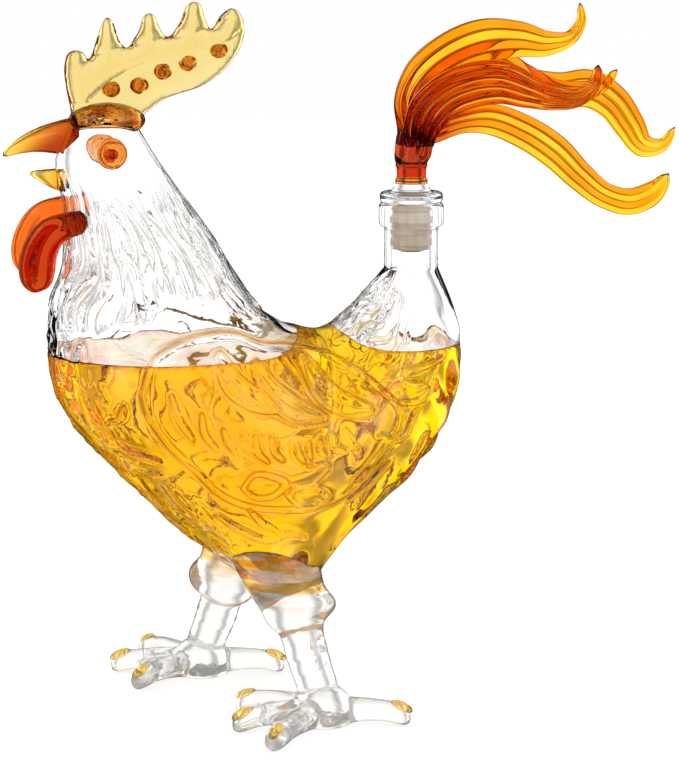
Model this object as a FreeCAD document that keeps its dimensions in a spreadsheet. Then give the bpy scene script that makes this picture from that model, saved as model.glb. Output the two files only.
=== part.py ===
"""Figural liquor decanter in the shape of a rooster, made of lampworked glass.

The vessel is one blown shell: head, neck, belly and tail bulge in a U, open at a pour neck that
is welded on top of the tail bulge. It is parted here along its mould seam and across its two
necks. Solid glass pieces are welded to it: wings, comb, beak, eyes, wattles, legs and feet. A
plume of tail feathers stands on a flanged glass plug, which carries a ribbed silicone sleeve and
closes the pour neck.

Frame: millimetres, +Z up from the surface that the feet stand on, the beak towards -X and the
rooster's left side towards -Y.
"""

import FreeCAD, Part

import math
import os

import Sketcher
from FreeCAD import Matrix, Placement, Rotation, Vector

# Driving dimensions: alias, value in millimetres or degrees or a count, meaning
DIMENSIONS = (
    ("body_length", "170", "chest to tail bulge, along X"),
    ("body_height", "193", "belly to crown of the head"),
    ("body_width", "104", "across the belly, along Y"),
    ("belly_clearance", "43", "belly above the standing surface"),
    ("body_wall", "2.5", "thickness of the blown wall"),
    ("body_shift", "-6.35", "moves the whole rooster along X to centre its box"),
    ("weld_gap", "0.05", "gap kept between glass pieces that are welded together"),
    ("cut_overrun", "2", "how far a cutting solid runs past what it cuts"),
    ("wing_rise", "2.4", "how far the wings stand out of the belly"),
    ("neck_radius", "10.8", "pour neck tube, outside"),
    ("neck_bore", "8.6", "pour neck bore, radius"),
    ("neck_tube", "16.5", "weld to the underside of the lip ring"),
    ("lip_radius", "13", "lip ring, outside"),
    ("lip_height", "9.5", "height of the lip ring"),
    ("lip_chamfer", "1.2", "chamfer on the lip ring's edges"),
    ("slide_gap", "0.05", "radial gap between sleeve ribs and bore"),
    ("turn_gap", "0.05", "radial gap between plug and sleeve"),
    ("plug_radius", "5.5", "glass plug inside the sleeve"),
    ("plug_length", "19.5", "plug below the flange"),
    ("sleeve_length", "18.5", "silicone sleeve, top to bottom"),
    ("sleeve_groove", "0.9", "depth of the grooves between the ribs"),
    ("sleeve_ribs", "4", "number of ribs on the sleeve"),
    ("flange_radius", "12.6", "stopper flange, outside"),
    ("flange_height", "4.4", "stopper flange thickness"),
    ("flange_chamfer", "1.1", "chamfer on the flange's edges"),
    ("collar_foot", "8", "radius of the clear collar at the flange"),
    ("stem_radius", "6.5", "radius of the amber stem"),
    ("collar_height", "3.4", "height of the clear collar"),
    ("stem_height", "7.6", "height of the amber stem"),
    ("knot_length", "14.6", "gather of the plumes along X"),
    ("knot_width", "22.4", "gather of the plumes along Y"),
    ("knot_height", "7.5", "gather of the plumes along Z"),
    ("plume_reach", "116", "stopper axis to the furthest plume tip"),
    ("plume_rise", "56", "gather to the highest plume tip"),
    ("plume_width", "17.5", "widest plume across its flutes"),
    ("plume_thickness", "4", "plume through its flutes"),
    ("plume_lane", "4.3", "sideways step from one plume to the next"),
    ("plume_tip", "2.4", "thickness of a plume at its tip"),
    ("comb_length", "68.5", "comb, front to rear"),
    ("comb_height", "46.5", "comb above the crown"),
    ("comb_thickness", "8", "comb across, along Y"),
    ("stud_radius", "3.2", "studs along the comb"),
    ("stud_rise", "1.1", "how far a stud stands out of the comb"),
    ("saddle_length", "30", "weld saddle under the comb, along X"),
    ("saddle_width", "19", "weld saddle across, along Y"),
    ("saddle_height", "15", "weld saddle, along Z"),
    ("beak_length", "26.5", "upper beak from the head to its tip"),
    ("beak_depth", "15.6", "upper beak at its root, along Z"),
    ("beak_width", "15", "upper beak at its root, along Y"),
    ("jaw_length", "15.5", "lower beak from the head to its tip"),
    ("jaw_depth", "10.5", "lower beak at its root, along Z"),
    ("jaw_width", "11", "lower beak at its root, along Y"),
    ("eye_radius", "6", "eye disc"),
    ("eye_height", "5.2", "eye disc from its back to its face"),
    ("eye_rim", "1.6", "rounding of the eye disc's rim"),
    ("eye_proud", "3.2", "how far the eye disc stands out of the head"),
    ("pupil_radius", "2.1", "bead in the middle of the eye"),
    ("wattle_drop", "26", "wattle, top to bottom"),
    ("wattle_reach", "19", "wattle root to its foremost line"),
    ("wattle_width", "14", "wattle lobe seen from the side"),
    ("wattle_thickness", "9.5", "wattle lobe across, along Y"),
    ("wattle_stagger", "4", "how much higher the right wattle hangs"),
    ("hip_spread", "46", "between the two legs at the belly, along Y"),
    ("foot_spread", "81", "between the two ankles, along Y"),
    ("hip_stride", "9", "between the two legs at the belly, along X"),
    ("foot_stride", "34", "between the two ankles, along X"),
    ("ankle_height", "8", "where the leg axis ends in the foot"),
    ("hip_radius", "13.6", "thigh where it meets the belly"),
    ("knee_radius", "14.8", "thigh at its bulge"),
    ("thigh_drop", "21", "thigh from the hip to the shank"),
    ("shank_radius", "7.8", "shank rod"),
    ("shank_ring", "0.5", "how far a ring stands out of the shank"),
    ("palm_radius", "12.5", "palm of the foot, seen from above"),
    ("palm_height", "13.5", "palm of the foot, floor to top"),
    ("toe_length", "38", "ankle to the tip of an inner or middle toe"),
    ("left_outer_length", "45", "ankle to the tip of the left outer toe"),
    ("right_outer_length", "40", "ankle to the tip of the right outer toe"),
    ("rear_toe_length", "35", "ankle to the tip of the rear toe"),
    ("toe_width", "9.4", "toe across"),
    ("toe_height", "10.5", "toe at its root, floor to top"),
    ("claw_length", "9.5", "amber claw along the toe"),
    ("claw_width", "5", "amber claw across"),
    ("claw_height", "5.2", "amber claw, top to bottom"),
)

# Shell sections from the crown to the tail bulge, each across the U of the body:
# inner x, inner z, outer x, outer z as shares of body_length and body_height, half width of body_width
BODY_SECTION_SHARES = (
    (-0.482, 0.995, -0.612, 1.000, 0.087),
    (-0.441, 0.933, -0.662, 0.922, 0.146),
    (-0.371, 0.834, -0.644, 0.826, 0.176),
    (-0.294, 0.736, -0.644, 0.712, 0.237),
    (-0.224, 0.635, -0.682, 0.606, 0.342),
    (-0.144, 0.578, -0.662, 0.430, 0.448),
    (-0.091, 0.561, -0.488, 0.241, 0.490),
    (-0.065, 0.556, -0.288, 0.080, 0.476),
    (-0.047, 0.556, -0.141, 0.005, 0.442),
    (-0.026, 0.561, 0.006, 0.126, 0.413),
    (0.000, 0.574, 0.150, 0.238, 0.371),
    (0.032, 0.599, 0.252, 0.361, 0.313),
    (0.062, 0.628, 0.291, 0.499, 0.244),
    (0.085, 0.654, 0.272, 0.601, 0.169),
)
NECK_AXIS_SHARE = 0.173
NECK_SEAM_SHARE = 0.679
# Where the shell is parted: between neck and tail along X, and the top of the belly along Z
VALLEY_SHARE = -0.07
BELLY_TOP_SHARE = 0.585

# Wing outline round its edge, length share and height share
WING_OUTLINE_SHARES = (
    (-0.507, 0.496), (-0.495, 0.555), (-0.436, 0.583), (-0.348, 0.590), (-0.255, 0.569),
    (-0.132, 0.541), (-0.016, 0.489), (0.073, 0.435), (0.082, 0.388), (0.012, 0.341),
    (-0.098, 0.293), (-0.213, 0.269), (-0.328, 0.294), (-0.430, 0.353), (-0.490, 0.426),
)

# Comb outline from the front of its foot to the rear, as lobes between notches:
# x and z as shares of comb_length and comb_height
COMB_LOBE_SHARES = (
    ((0.000, -0.080), (-0.012, 0.200), (-0.028, 0.480), (0.030, 0.604), (0.098, 0.527)),
    ((0.098, 0.527), (0.165, 0.720), (0.216, 0.875), (0.262, 0.740), (0.318, 0.617)),
    ((0.318, 0.617), (0.400, 0.765), (0.455, 0.905), (0.500, 0.810), (0.553, 0.703)),
    ((0.553, 0.703), (0.640, 0.850), (0.711, 1.000), (0.760, 0.890), (0.803, 0.763)),
    ((0.803, 0.763), (0.870, 0.885), (0.928, 0.938), (0.985, 0.850), (0.978, 0.626)),
    ((0.978, 0.626), (0.838, 0.376), (0.625, 0.237), (0.474, 0.131), (0.399, -0.080)),
)
COMB_FOOT_SHARES = (-0.626, 0.990)
COMB_CENTRE_SHARES = (0.42, 0.40)
COMB_FACE_SHARE = 0.93
STUD_PLACE_SHARES = ((0.228, 0.282), (0.390, 0.305), (0.527, 0.419), (0.670, 0.488), (0.845, 0.594))
SADDLE_PLACE_SHARES = (-0.544, 0.992)

# Beak sections from inside the head to the tip: distance along the beak, lift of its middle,
# depth and width, as shares of the length, depth and width
BEAK_SECTION_SHARES = (
    (-0.08, 0.02, 1.00, 1.00),
    (0.22, 0.00, 0.80, 0.86),
    (0.52, -0.06, 0.58, 0.62),
    (0.78, -0.20, 0.38, 0.38),
    (1.00, -0.40, 0.12, 0.14),
)
JAW_SECTION_SHARES = (
    (-0.10, -0.10, 1.00, 1.00),
    (0.45, 0.00, 0.72, 0.80),
    (0.75, 0.12, 0.42, 0.50),
    (1.00, 0.20, 0.14, 0.16),
)
BEAK_PLACE_SHARES = (-0.626, 0.962)
JAW_PLACE_SHARES = (-0.631, 0.880)

EYE_PLACE_SHARES = (-0.547, 0.934)
EYE_HALF_WIDTH_SHARE = 0.140

# Wattle sections from the root to the end of the lobe: forward, down, width and thickness shares
WATTLE_SECTION_SHARES = (
    (-0.10, -0.02, 0.66, 0.76),
    (0.32, 0.03, 0.74, 0.80),
    (0.66, 0.15, 0.88, 0.90),
    (0.88, 0.40, 0.98, 0.98),
    (0.96, 0.70, 1.00, 1.00),
    (0.95, 0.88, 0.80, 0.80),
    (0.93, 0.99, 0.34, 0.36),
)
WATTLE_PLACE_SHARES = (-0.612, 0.795)
WATTLE_SIDE_SHARE = 0.092
WATTLE_FLARE_SHARE = 0.036

# Plumes: name, lane number, flutes on a face, and the spine from the gather to the tip as
# reach, rise and half width shares of plume_reach, plume_rise and plume_width
PLUMES = (
    ("top_plume", 0, 4, (
        (0.009, 0.000, 0.297), (-0.007, 0.161, 0.309), (-0.012, 0.304, 0.331), (0.031, 0.470, 0.446),
        (0.128, 0.629, 0.497), (0.251, 0.725, 0.509), (0.376, 0.736, 0.417), (0.488, 0.705, 0.280),
        (0.564, 0.743, 0.171), (0.603, 0.861, 0.126), (0.596, 0.993, 0.057))),
    ("near_plume", -2, 5, (
        (0.009, 0.000, 0.320), (0.014, 0.116, 0.411), (0.034, 0.225, 0.491), (0.091, 0.345, 0.503),
        (0.186, 0.429, 0.514), (0.285, 0.446, 0.491), (0.389, 0.380, 0.389), (0.479, 0.321, 0.251),
        (0.560, 0.329, 0.206), (0.620, 0.429, 0.171), (0.631, 0.564, 0.080))),
    ("low_plume", -1, 4, (
        (0.018, 0.000, 0.263), (0.035, 0.061, 0.251), (0.087, 0.107, 0.251), (0.165, 0.161, 0.257),
        (0.264, 0.179, 0.349), (0.384, 0.089, 0.383), (0.500, -0.064, 0.389), (0.593, -0.246, 0.337),
        (0.684, -0.386, 0.297), (0.775, -0.432, 0.309), (0.860, -0.364, 0.274), (0.914, -0.232, 0.091))),
    ("far_plume", 1, 4, (
        (0.009, 0.000, 0.297), (0.010, 0.143, 0.343), (0.052, 0.312, 0.411), (0.156, 0.489, 0.469),
        (0.281, 0.546, 0.491), (0.402, 0.439, 0.411), (0.522, 0.354, 0.297), (0.634, 0.354, 0.234),
        (0.715, 0.414, 0.154), (0.755, 0.507, 0.069))),
    ("far_low_plume", 2, 4, (
        (0.014, 0.000, 0.286), (0.031, 0.107, 0.320), (0.109, 0.259, 0.354), (0.246, 0.368, 0.400),
        (0.402, 0.393, 0.411), (0.565, 0.354, 0.423), (0.665, 0.364, 0.440), (0.757, 0.257, 0.411),
        (0.819, 0.093, 0.371), (0.876, -0.061, 0.274), (0.943, -0.061, 0.166), (0.993, 0.071, 0.074))),
)
FLUTE_POINTS_PER_LOBE = 6
FLUTE_DEPTH_SHARE = 0.18
FLUTE_SQUARENESS = 0.7
CURVE_DEGREE = 3
PLUME_SPREAD_SHARE = 0.55
PLUME_FULL_SHARE = 0.30
# Gather from the stem upwards: height share, lean share of its length, length scale, width scale
KNOT_SECTION_SHARES = (
    (0.00, 0.00, 0.88, 0.58), (0.30, 0.02, 0.96, 0.74), (0.65, 0.05, 1.00, 0.92), (1.00, 0.08, 1.00, 1.00),
)

HIP_PLACE_SHARES = (-0.191, 0.062)
STANCE_PLACE_SHARE = -0.195
# Thigh outline along the leg: distance as a share of thigh_drop, and a radius scaled
THIGH_RISE_SHARE = 0.45
THIGH_OUTLINE_SHARES = (
    (0.00, "hip_radius", 1.00),
    (0.30, "knee_radius", 0.98),
    (0.50, "knee_radius", 1.00),
    (0.70, "knee_radius", 0.94),
    (0.88, "shank_radius", 1.36),
    (1.00, "shank_radius", 1.04),
)
SHANK_RING_SHARES = (0.34, 0.46, 0.66)
SHANK_RING_LENGTH_SHARE = 0.05

# Toe sections from the ankle to the tip: distance, width and height as shares
TOE_SECTION_SHARES = (
    (0.20, 0.80, 1.00),
    (0.34, 0.86, 0.98),
    (0.52, 1.08, 0.94),
    (0.74, 1.10, 0.86),
    (0.91, 0.94, 0.74),
    (0.985, 0.50, 0.46),
)
# Toes of each foot: name, heading in degrees from +X, and the size that gives its length
TOES = {
    "left": (
        ("inner", 142, "toe_length"), ("middle", 190, "toe_length"),
        ("outer", 231, "left_outer_length"), ("rear", -20, "rear_toe_length")),
    "right": (
        ("inner", 213, "toe_length"), ("middle", 165, "toe_length"),
        ("outer", 119, "right_outer_length"), ("rear", -12, "rear_toe_length")),
}
CLAW_PLACE_SHARE = 0.885
CLAW_LIFT_SHARE = 0.66
CLAW_TILT = 24
TOE_OVAL_SHARE = 0.58
# Palm outline from the floor to its top: radius share and height share
PALM_OUTLINE_SHARES = (
    (0.88, 0.00), (0.97, 0.10), (1.00, 0.26), (0.97, 0.48), (0.88, 0.70), (0.74, 0.88), (0.60, 1.00),
)


class Dim:
    """A length with its value and the spreadsheet expression that it comes from."""

    def __init__(self, value, text):
        self.value = value
        self.text = text

    def _joined(self, other, sign, value):
        text = other.text if isinstance(other, Dim) else repr(other)
        return Dim(value, "(%s %s %s)" % (self.text, sign, text))

    def __add__(self, other):
        return self._joined(other, "+", self.value + number(other))

    def __sub__(self, other):
        return self._joined(other, "-", self.value - number(other))

    def __mul__(self, other):
        return self._joined(other, "*", self.value * number(other))

    def __truediv__(self, other):
        return self._joined(other, "/", self.value / number(other))


def number(item):
    """The plain number in a Dim, or the number itself."""
    return item.value if isinstance(item, Dim) else item


doc = FreeCAD.newDocument("figural_decanter")
sheet = doc.addObject("Spreadsheet::Sheet", "Sizes")
for row, (alias, text, meaning) in enumerate(DIMENSIONS, start=1):
    sheet.set("A%d" % row, alias)
    sheet.set("B%d" % row, text)
    sheet.set("C%d" % row, meaning)
    sheet.setAlias("B%d" % row, alias)
doc.recompute()


def dim(alias):
    """The named cell as a Dim."""
    return Dim(float(sheet.get(alias)), "Sizes." + alias)


def size(alias):
    """The named cell as a plain number."""
    return float(sheet.get(alias))


sub_parts = {}


def keep(thing, label):
    """Gives an object its label and puts it on the list of sub-parts."""
    thing.Label = label
    sub_parts[label] = thing
    return thing


# Places on the body, worked out from shares of its driving sizes

def body_x(share):
    return dim("body_length") * share + dim("body_shift")


def body_z(share):
    return dim("body_height") * share + dim("belly_clearance")


def body_place(shares, y=0.0):
    """A point of the body from its length share and height share."""
    return Vector(body_x(shares[0]).value, y, body_z(shares[1]).value)


def put(thing, base, rotation=None):
    """Places an object, with each Dim coordinate bound to the sheet."""
    thing.Placement = Placement(Vector(*[number(b) for b in base]), rotation or Rotation())
    for axis, item in zip("xyz", base):
        if isinstance(item, Dim):
            thing.setExpression("Placement.Base." + axis, item.text)
    return thing


# Curves and lofts

def oval_wire(centre, half_u, half_v):
    """A closed oval about centre, whose two half axes are the vectors half_u and half_v."""
    normal = half_u.cross(half_v).normalize()
    frame = Matrix(
        half_u.x, half_v.x, normal.x, centre.x,
        half_u.y, half_v.y, normal.y, centre.y,
        half_u.z, half_v.z, normal.z, centre.z,
        0, 0, 0, 1)
    circle = Part.Edge(Part.Circle(Vector(), Vector(0, 0, 1), 1))
    return Part.Wire([circle.transformGeometry(frame)])


def solid_loft(wires):
    """A smooth solid through closed wires."""
    shape = Part.makeLoft(wires, True, False)
    if shape.Volume < 0:
        shape.reverse()
    return shape


def smooth_edge(points):
    """An open curve through the points."""
    curve = Part.BSplineCurve()
    curve.interpolate(points)
    return curve.toShape()


def shape_object(name, shape):
    """A document object that holds a worked-out shape."""
    thing = doc.addObject("Part::Feature", name)
    thing.Shape = shape
    thing.Placement = Placement()
    return thing


def cut(name, base, *tools):
    """base with the tools taken out of it, as a chain of boolean objects."""
    for step, tool in enumerate(tools):
        thing = doc.addObject("Part::Cut", "%s_cut_%d" % (name, step))
        thing.Base = base
        thing.Tool = tool
        thing.Refine = False
        base = thing
    return base


def common(name, base, tool):
    """What two solids share, left as it comes."""
    thing = doc.addObject("Part::Common", name)
    thing.Base, thing.Tool, thing.Refine = base, tool, False
    return thing


def block(name, low, high):
    """A box between two corners, whose coordinates are Dims or zero."""
    thing = doc.addObject("Part::Box", name)
    for prop, start, end in zip(("Length", "Width", "Height"), low, high):
        item = end - start if end else start * -1
        setattr(thing, prop, item.value)
        thing.setExpression(prop, item.text)
    return put(thing, low)


def ellipsoid(name, length, width, height, base, rotation=None):
    """An egg of three full sizes, placed by its middle."""
    thing = doc.addObject("Part::Ellipsoid", name)
    for prop, item in (("Radius2", length), ("Radius3", width), ("Radius1", height)):
        setattr(thing, prop, number(item) / 2)
        if isinstance(item, Dim):
            thing.setExpression(prop, (item / 2).text)
    return put(thing, base, rotation)


def revolved(name, outline, base=None, rotation=None):
    """A body of revolution: outline is a closed list of (radius, height) Dims, none negative."""
    body = doc.addObject("PartDesign::Body", name)
    sketch = body.newObject("Sketcher::SketchObject", name + "_outline")
    plane = [f for f in body.Origin.OriginFeatures if f.Role == "XZ_Plane"][0]
    sketch.AttachmentSupport = [(plane, "")]
    sketch.MapMode = "FlatFace"
    corners = [Vector(number(r), number(h), 0) for r, h in outline]
    for here, there in zip(corners, corners[1:] + corners[:1]):
        sketch.addGeometry(Part.LineSegment(here, there))
    count = len(corners)
    for i in range(count):
        sketch.addConstraint(Sketcher.Constraint("Coincident", i, 2, (i + 1) % count, 1))
    for i, (r, h) in enumerate(outline):
        for kind, item, axis in (("DistanceX", r, -2), ("DistanceY", h, -1)):
            if number(item) == 0:
                sketch.addConstraint(Sketcher.Constraint("PointOnObject", i, 1, axis))
                continue
            index = sketch.addConstraint(Sketcher.Constraint(kind, -1, 1, i, 1, number(item)))
            sketch.setExpression("Constraints[%d]" % index, item.text)
    turn = body.newObject("PartDesign::Revolution", name + "_turn")
    turn.Profile = sketch
    turn.ReferenceAxis = (sketch, ["V_Axis"])
    turn.Angle = 360
    body.Tip = turn
    if base is not None:
        put(body, base, rotation)
    return body


# Blown shell

def body_sections(inset):
    """(centre, half vector across the U, half width) of each shell section, drawn in by inset."""
    sections = []
    for inner_x, inner_z, outer_x, outer_z, half in BODY_SECTION_SHARES:
        inner = body_place((inner_x, inner_z))
        outer = body_place((outer_x, outer_z))
        across = (outer - inner) * 0.5
        across *= (across.Length - inset) / across.Length
        sections.append(((inner + outer) * 0.5, across, size("body_width") * half - inset))
    return sections


def body_wires(inset, crown_inset, seam_overrun):
    """Oval wires of the shell, drawn in by inset, ending in the round of the pour neck."""
    sections = body_sections(inset)
    first, second = sections[0], sections[1]
    down = (second[0] - first[0]).normalize()
    sections[0] = (first[0] + down * crown_inset, first[1], first[2])
    wires = [oval_wire(c, a, Vector(0, -half, 0)) for c, a, half in sections]
    seam = body_z(NECK_SEAM_SHARE).value
    radius = size("neck_radius") - inset
    if inset > size("weld_gap"):
        radius = size("neck_bore")
    for height in (seam, seam + seam_overrun) if seam_overrun else (seam,):
        centre = Vector(body_x(NECK_AXIS_SHARE).value, 0, height)
        wires.append(oval_wire(centre, Vector(radius, 0, 0), Vector(0, -radius, 0)))
    return wires


def wing_prism(sign):
    """A bar from the middle of the body out to one side, with the wing's outline."""
    points = [body_place(shares) for shares in WING_OUTLINE_SHARES]
    curve = Part.BSplineCurve()
    curve.interpolate(points, PeriodicFlag=True)
    face = Part.Face(Part.Wire([curve.toShape()]))
    return face.extrude(Vector(0, sign * size("body_width"), 0))


outer_blank = shape_object("outer_blank", solid_loft(body_wires(0, 0, 0)))
weld_blank = shape_object("weld_blank", solid_loft(body_wires(-size("weld_gap"), 0, 0)))
hollow_blank = shape_object("hollow_blank", solid_loft(
    body_wires(size("body_wall"), size("body_wall"), size("cut_overrun"))))
shell_blank = cut("shell_blank", outer_blank, hollow_blank)

# The shell in four zones: two belly halves along the mould seam, the head and the tail bulge

zero = 0.0
SIDES = (("left", -1), ("right", 1))
chest_x, valley_x, rear_x = dim("body_length") * -1, body_x(VALLEY_SHARE), dim("body_length")
parting_z, above_z = body_z(BELLY_TOP_SHARE), dim("body_height") * 2
left_y, right_y = dim("body_width") * -1, dim("body_width")
keep(common("head_shell", shell_blank, block(
    "head_zone", (chest_x, left_y, parting_z), (valley_x, right_y, above_z))), "head_shell")
keep(common("tail_shell", shell_blank, block(
    "tail_zone", (valley_x, left_y, parting_z), (rear_x, right_y, above_z))), "tail_shell")
for side, sign in SIDES:
    low_y, high_y = (left_y, zero) if sign < 0 else (zero, right_y)
    zone = block(side + "_zone", (chest_x, low_y, zero), (rear_x, high_y, parting_z))
    keep(common(side + "_belly", shell_blank, zone), side + "_belly")

# Wings, welded on the flanks

swollen_shape = solid_loft(body_wires(-size("wing_rise"), 0, 0))
for side, sign in SIDES:
    wing_blank = shape_object(side + "_wing_blank", swollen_shape.common(wing_prism(sign)))
    keep(cut(side + "_wing", wing_blank, weld_blank), side + "_wing")

# Pour neck with its lip ring

neck_x = body_x(NECK_AXIS_SHARE)
seam_z = body_z(NECK_SEAM_SHARE)
lip_foot = dim("neck_tube")
mouth = lip_foot + dim("lip_height")
keep(revolved("pour_neck", [
    (dim("neck_bore"), zero),
    (dim("neck_radius"), zero),
    (dim("neck_radius"), lip_foot),
    (dim("lip_radius") - dim("lip_chamfer"), lip_foot),
    (dim("lip_radius"), lip_foot + dim("lip_chamfer")),
    (dim("lip_radius"), mouth - dim("lip_chamfer")),
    (dim("lip_radius") - dim("lip_chamfer"), mouth),
    (dim("neck_bore"), mouth),
], (neck_x, zero, seam_z)), "pour_neck")
mouth_z = seam_z + mouth

# Stopper: ribbed silicone sleeve, flanged glass plug and amber stem

rib_radius = dim("neck_bore") - dim("slide_gap")
groove_radius = rib_radius - dim("sleeve_groove")
rib_pitch = dim("sleeve_length") / int(size("sleeve_ribs"))
sleeve_bore = dim("plug_radius") + dim("turn_gap")
sleeve_outline = [(sleeve_bore, zero), (groove_radius, zero)]
RIB_START_SHARE, RIB_FULL_SHARE, RIB_END_SHARE = 0.30, 0.42, 0.90
for rib in range(int(size("sleeve_ribs"))):
    sleeve_outline += [
        (groove_radius, rib_pitch * (rib + RIB_START_SHARE)),
        (rib_radius, rib_pitch * (rib + RIB_FULL_SHARE)),
        (rib_radius, rib_pitch * (rib + RIB_END_SHARE)),
    ]
    if rib + 1 < int(size("sleeve_ribs")):
        sleeve_outline.append((groove_radius, rib_pitch * (rib + 1)))
sleeve_outline += [(rib_radius, dim("sleeve_length")), (sleeve_bore, dim("sleeve_length"))]
sleeve_z = mouth_z - dim("sleeve_length")
keep(revolved("stopper_sleeve", sleeve_outline, (neck_x, zero, sleeve_z)), "stopper_sleeve")

flange_foot = dim("plug_length")
flange_top = flange_foot + dim("flange_height")
collar_top = flange_top + dim("collar_height")
keep(revolved("stopper_plug", [
    (zero, zero),
    (dim("plug_radius"), zero),
    (dim("plug_radius"), flange_foot),
    (dim("flange_radius") - dim("flange_chamfer"), flange_foot),
    (dim("flange_radius"), flange_foot + dim("flange_chamfer")),
    (dim("flange_radius"), flange_top - dim("flange_chamfer")),
    (dim("flange_radius") - dim("flange_chamfer"), flange_top),
    (dim("collar_foot"), flange_top),
    (dim("stem_radius"), collar_top),
    (zero, collar_top),
], (neck_x, zero, mouth_z - dim("plug_length"))), "stopper_plug")

stem_foot = mouth_z + dim("flange_height") + dim("collar_height")
stem_top = stem_foot + dim("stem_height")
keep(revolved("tail_stem", [
    (zero, zero),
    (dim("stem_radius"), zero),
    (dim("stem_radius"), dim("stem_height")),
    (zero, dim("stem_height")),
], (neck_x, zero, stem_foot)), "tail_stem")

# Plumes and the gather that holds their roots

knot_wires = []
for high, lean, long, wide in KNOT_SECTION_SHARES:
    knot_wires.append(oval_wire(
        Vector(neck_x.value + size("knot_length") * lean, 0, stem_top.value + size("knot_height") * high),
        Vector(size("knot_length") / 2 * long, 0, 0),
        Vector(0, size("knot_width") / 2 * wide, 0)))
keep(shape_object("tail_knot", solid_loft(knot_wires)), "tail_knot")
gather_top = stem_top + dim("knot_height")


def fluted_ring(centre, across, half_width, half_depth, flutes):
    """Control points of a flat oval with rounded flutes along both faces."""
    points = []
    count = 2 * flutes * FLUTE_POINTS_PER_LOBE
    for step in range(count):
        angle = 2 * math.pi * step / count
        reach = math.cos(angle)
        lift = math.copysign(abs(math.sin(angle)) ** FLUTE_SQUARENESS, math.sin(angle))
        groove = 0.5 + 0.5 * math.cos(math.pi * flutes * (reach + 1))
        lift *= 1 - FLUTE_DEPTH_SHARE * groove
        points.append(centre + across * (half_width * reach) + Vector(0, half_depth * lift, 0))
    return points


def skinned(rings):
    """A smooth solid whose skin has rings of control points, flat at both ends."""
    rows, count = len(rings), len(rings[0])
    spans = rows - CURVE_DEGREE
    ends = CURVE_DEGREE + 1
    skin = Part.BSplineSurface()
    skin.buildFromPolesMultsKnots(
        rings, [ends] + [1] * (spans - 1) + [ends], [1] * (count + 1),
        list(range(spans + 1)), list(range(count + 1)), False, True, CURVE_DEGREE, CURVE_DEGREE)
    tube = skin.toShape()
    rims = [edge for edge in tube.Edges if not edge.isSeam(tube)]
    shell = Part.Shell([tube] + [Part.Face(Part.Wire([rim])) for rim in rims])
    shell.sewShape()
    solid = Part.Solid(shell)
    if solid.Volume < 0:
        solid.reverse()
    return solid


def plume_shape(lane, flutes, spine_shares):
    """One tail feather: fluted sections along a spine that bends in its own lane."""
    spine = []
    for step, (reach, rise, half) in enumerate(spine_shares):
        fan = 1 + PLUME_SPREAD_SHARE * step / len(spine_shares)
        spine.append(Vector(
            neck_x.value + size("plume_reach") * reach,
            size("plume_lane") * lane * fan,
            gather_top.value + size("plume_rise") * rise))
    rings = []
    for step, centre in enumerate(spine):
        before = spine[max(step - 1, 0)]
        after = spine[min(step + 1, len(spine) - 1)]
        along = after - before
        across = Vector(-along.z, 0, along.x).normalize()
        if step == 0:
            across = Vector(-1, 0, 0)
        half = spine_shares[step][2]
        full = min(1, half / PLUME_FULL_SHARE)
        depth = size("plume_tip") + (size("plume_thickness") - size("plume_tip")) * full
        rings.append(fluted_ring(centre, across, size("plume_width") * half, depth / 2, flutes))
    return skinned(rings)


for label, lane, flutes, spine_shares in PLUMES:
    keep(shape_object(label, plume_shape(lane, flutes, spine_shares)), label)

# Comb with its studs, on a weld saddle

saddle_base = (body_x(SADDLE_PLACE_SHARES[0]), zero, body_z(SADDLE_PLACE_SHARES[1]))
saddle_egg = ellipsoid(
    "saddle_egg", dim("saddle_length"), dim("saddle_width"), dim("saddle_height"), saddle_base)
keep(cut("comb_saddle", saddle_egg, weld_blank), "comb_saddle")


def comb_wire(scale, y):
    """The comb's outline, drawn towards its centre by scale, at one distance from its middle."""
    foot = body_place(COMB_FOOT_SHARES, y)
    edges = []
    for lobe in COMB_LOBE_SHARES:
        points = []
        for shares in lobe:
            x, z = [c + (s - c) * scale for s, c in zip(shares, COMB_CENTRE_SHARES)]
            points.append(foot + Vector(size("comb_length") * x, 0, size("comb_height") * z))
        edges.append(smooth_edge(points))
    edges.append(Part.makeLine(edges[-1].Vertexes[-1].Point, edges[0].Vertexes[0].Point))
    return Part.Wire(edges)


half_comb = size("comb_thickness") / 2
comb_blank = shape_object("comb_blank", solid_loft([
    comb_wire(COMB_FACE_SHARE, -half_comb),
    comb_wire(1, zero),
    comb_wire(COMB_FACE_SHARE, half_comb),
]))
studs = []
for step, shares in enumerate(STUD_PLACE_SHARES):
    studs.append(ellipsoid(
        "stud_%d" % step, dim("stud_radius") * 2, dim("comb_thickness") + dim("stud_rise") * 2,
        dim("stud_radius") * 2, (
            body_x(COMB_FOOT_SHARES[0]) + dim("comb_length") * shares[0], zero,
            body_z(COMB_FOOT_SHARES[1]) + dim("comb_height") * shares[1])))
comb_studs = keep(doc.addObject("Part::Compound", "comb_studs"), "comb_studs")
comb_studs.Links = studs
keep(cut("comb", comb_blank, saddle_egg, weld_blank, comb_studs), "comb")

# Beak

def beak_shape(place_shares, section_shares, length, depth, width):
    """Ovals that shrink from the head to the tip."""
    root = body_place(place_shares)
    wires = []
    for along, lift, deep, wide in section_shares:
        centre = root + Vector(-length * along, 0, depth * lift)
        wires.append(oval_wire(
            centre, Vector(0, 0, depth * deep / 2), Vector(0, -width * wide / 2, 0)))
    return solid_loft(wires)


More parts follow.
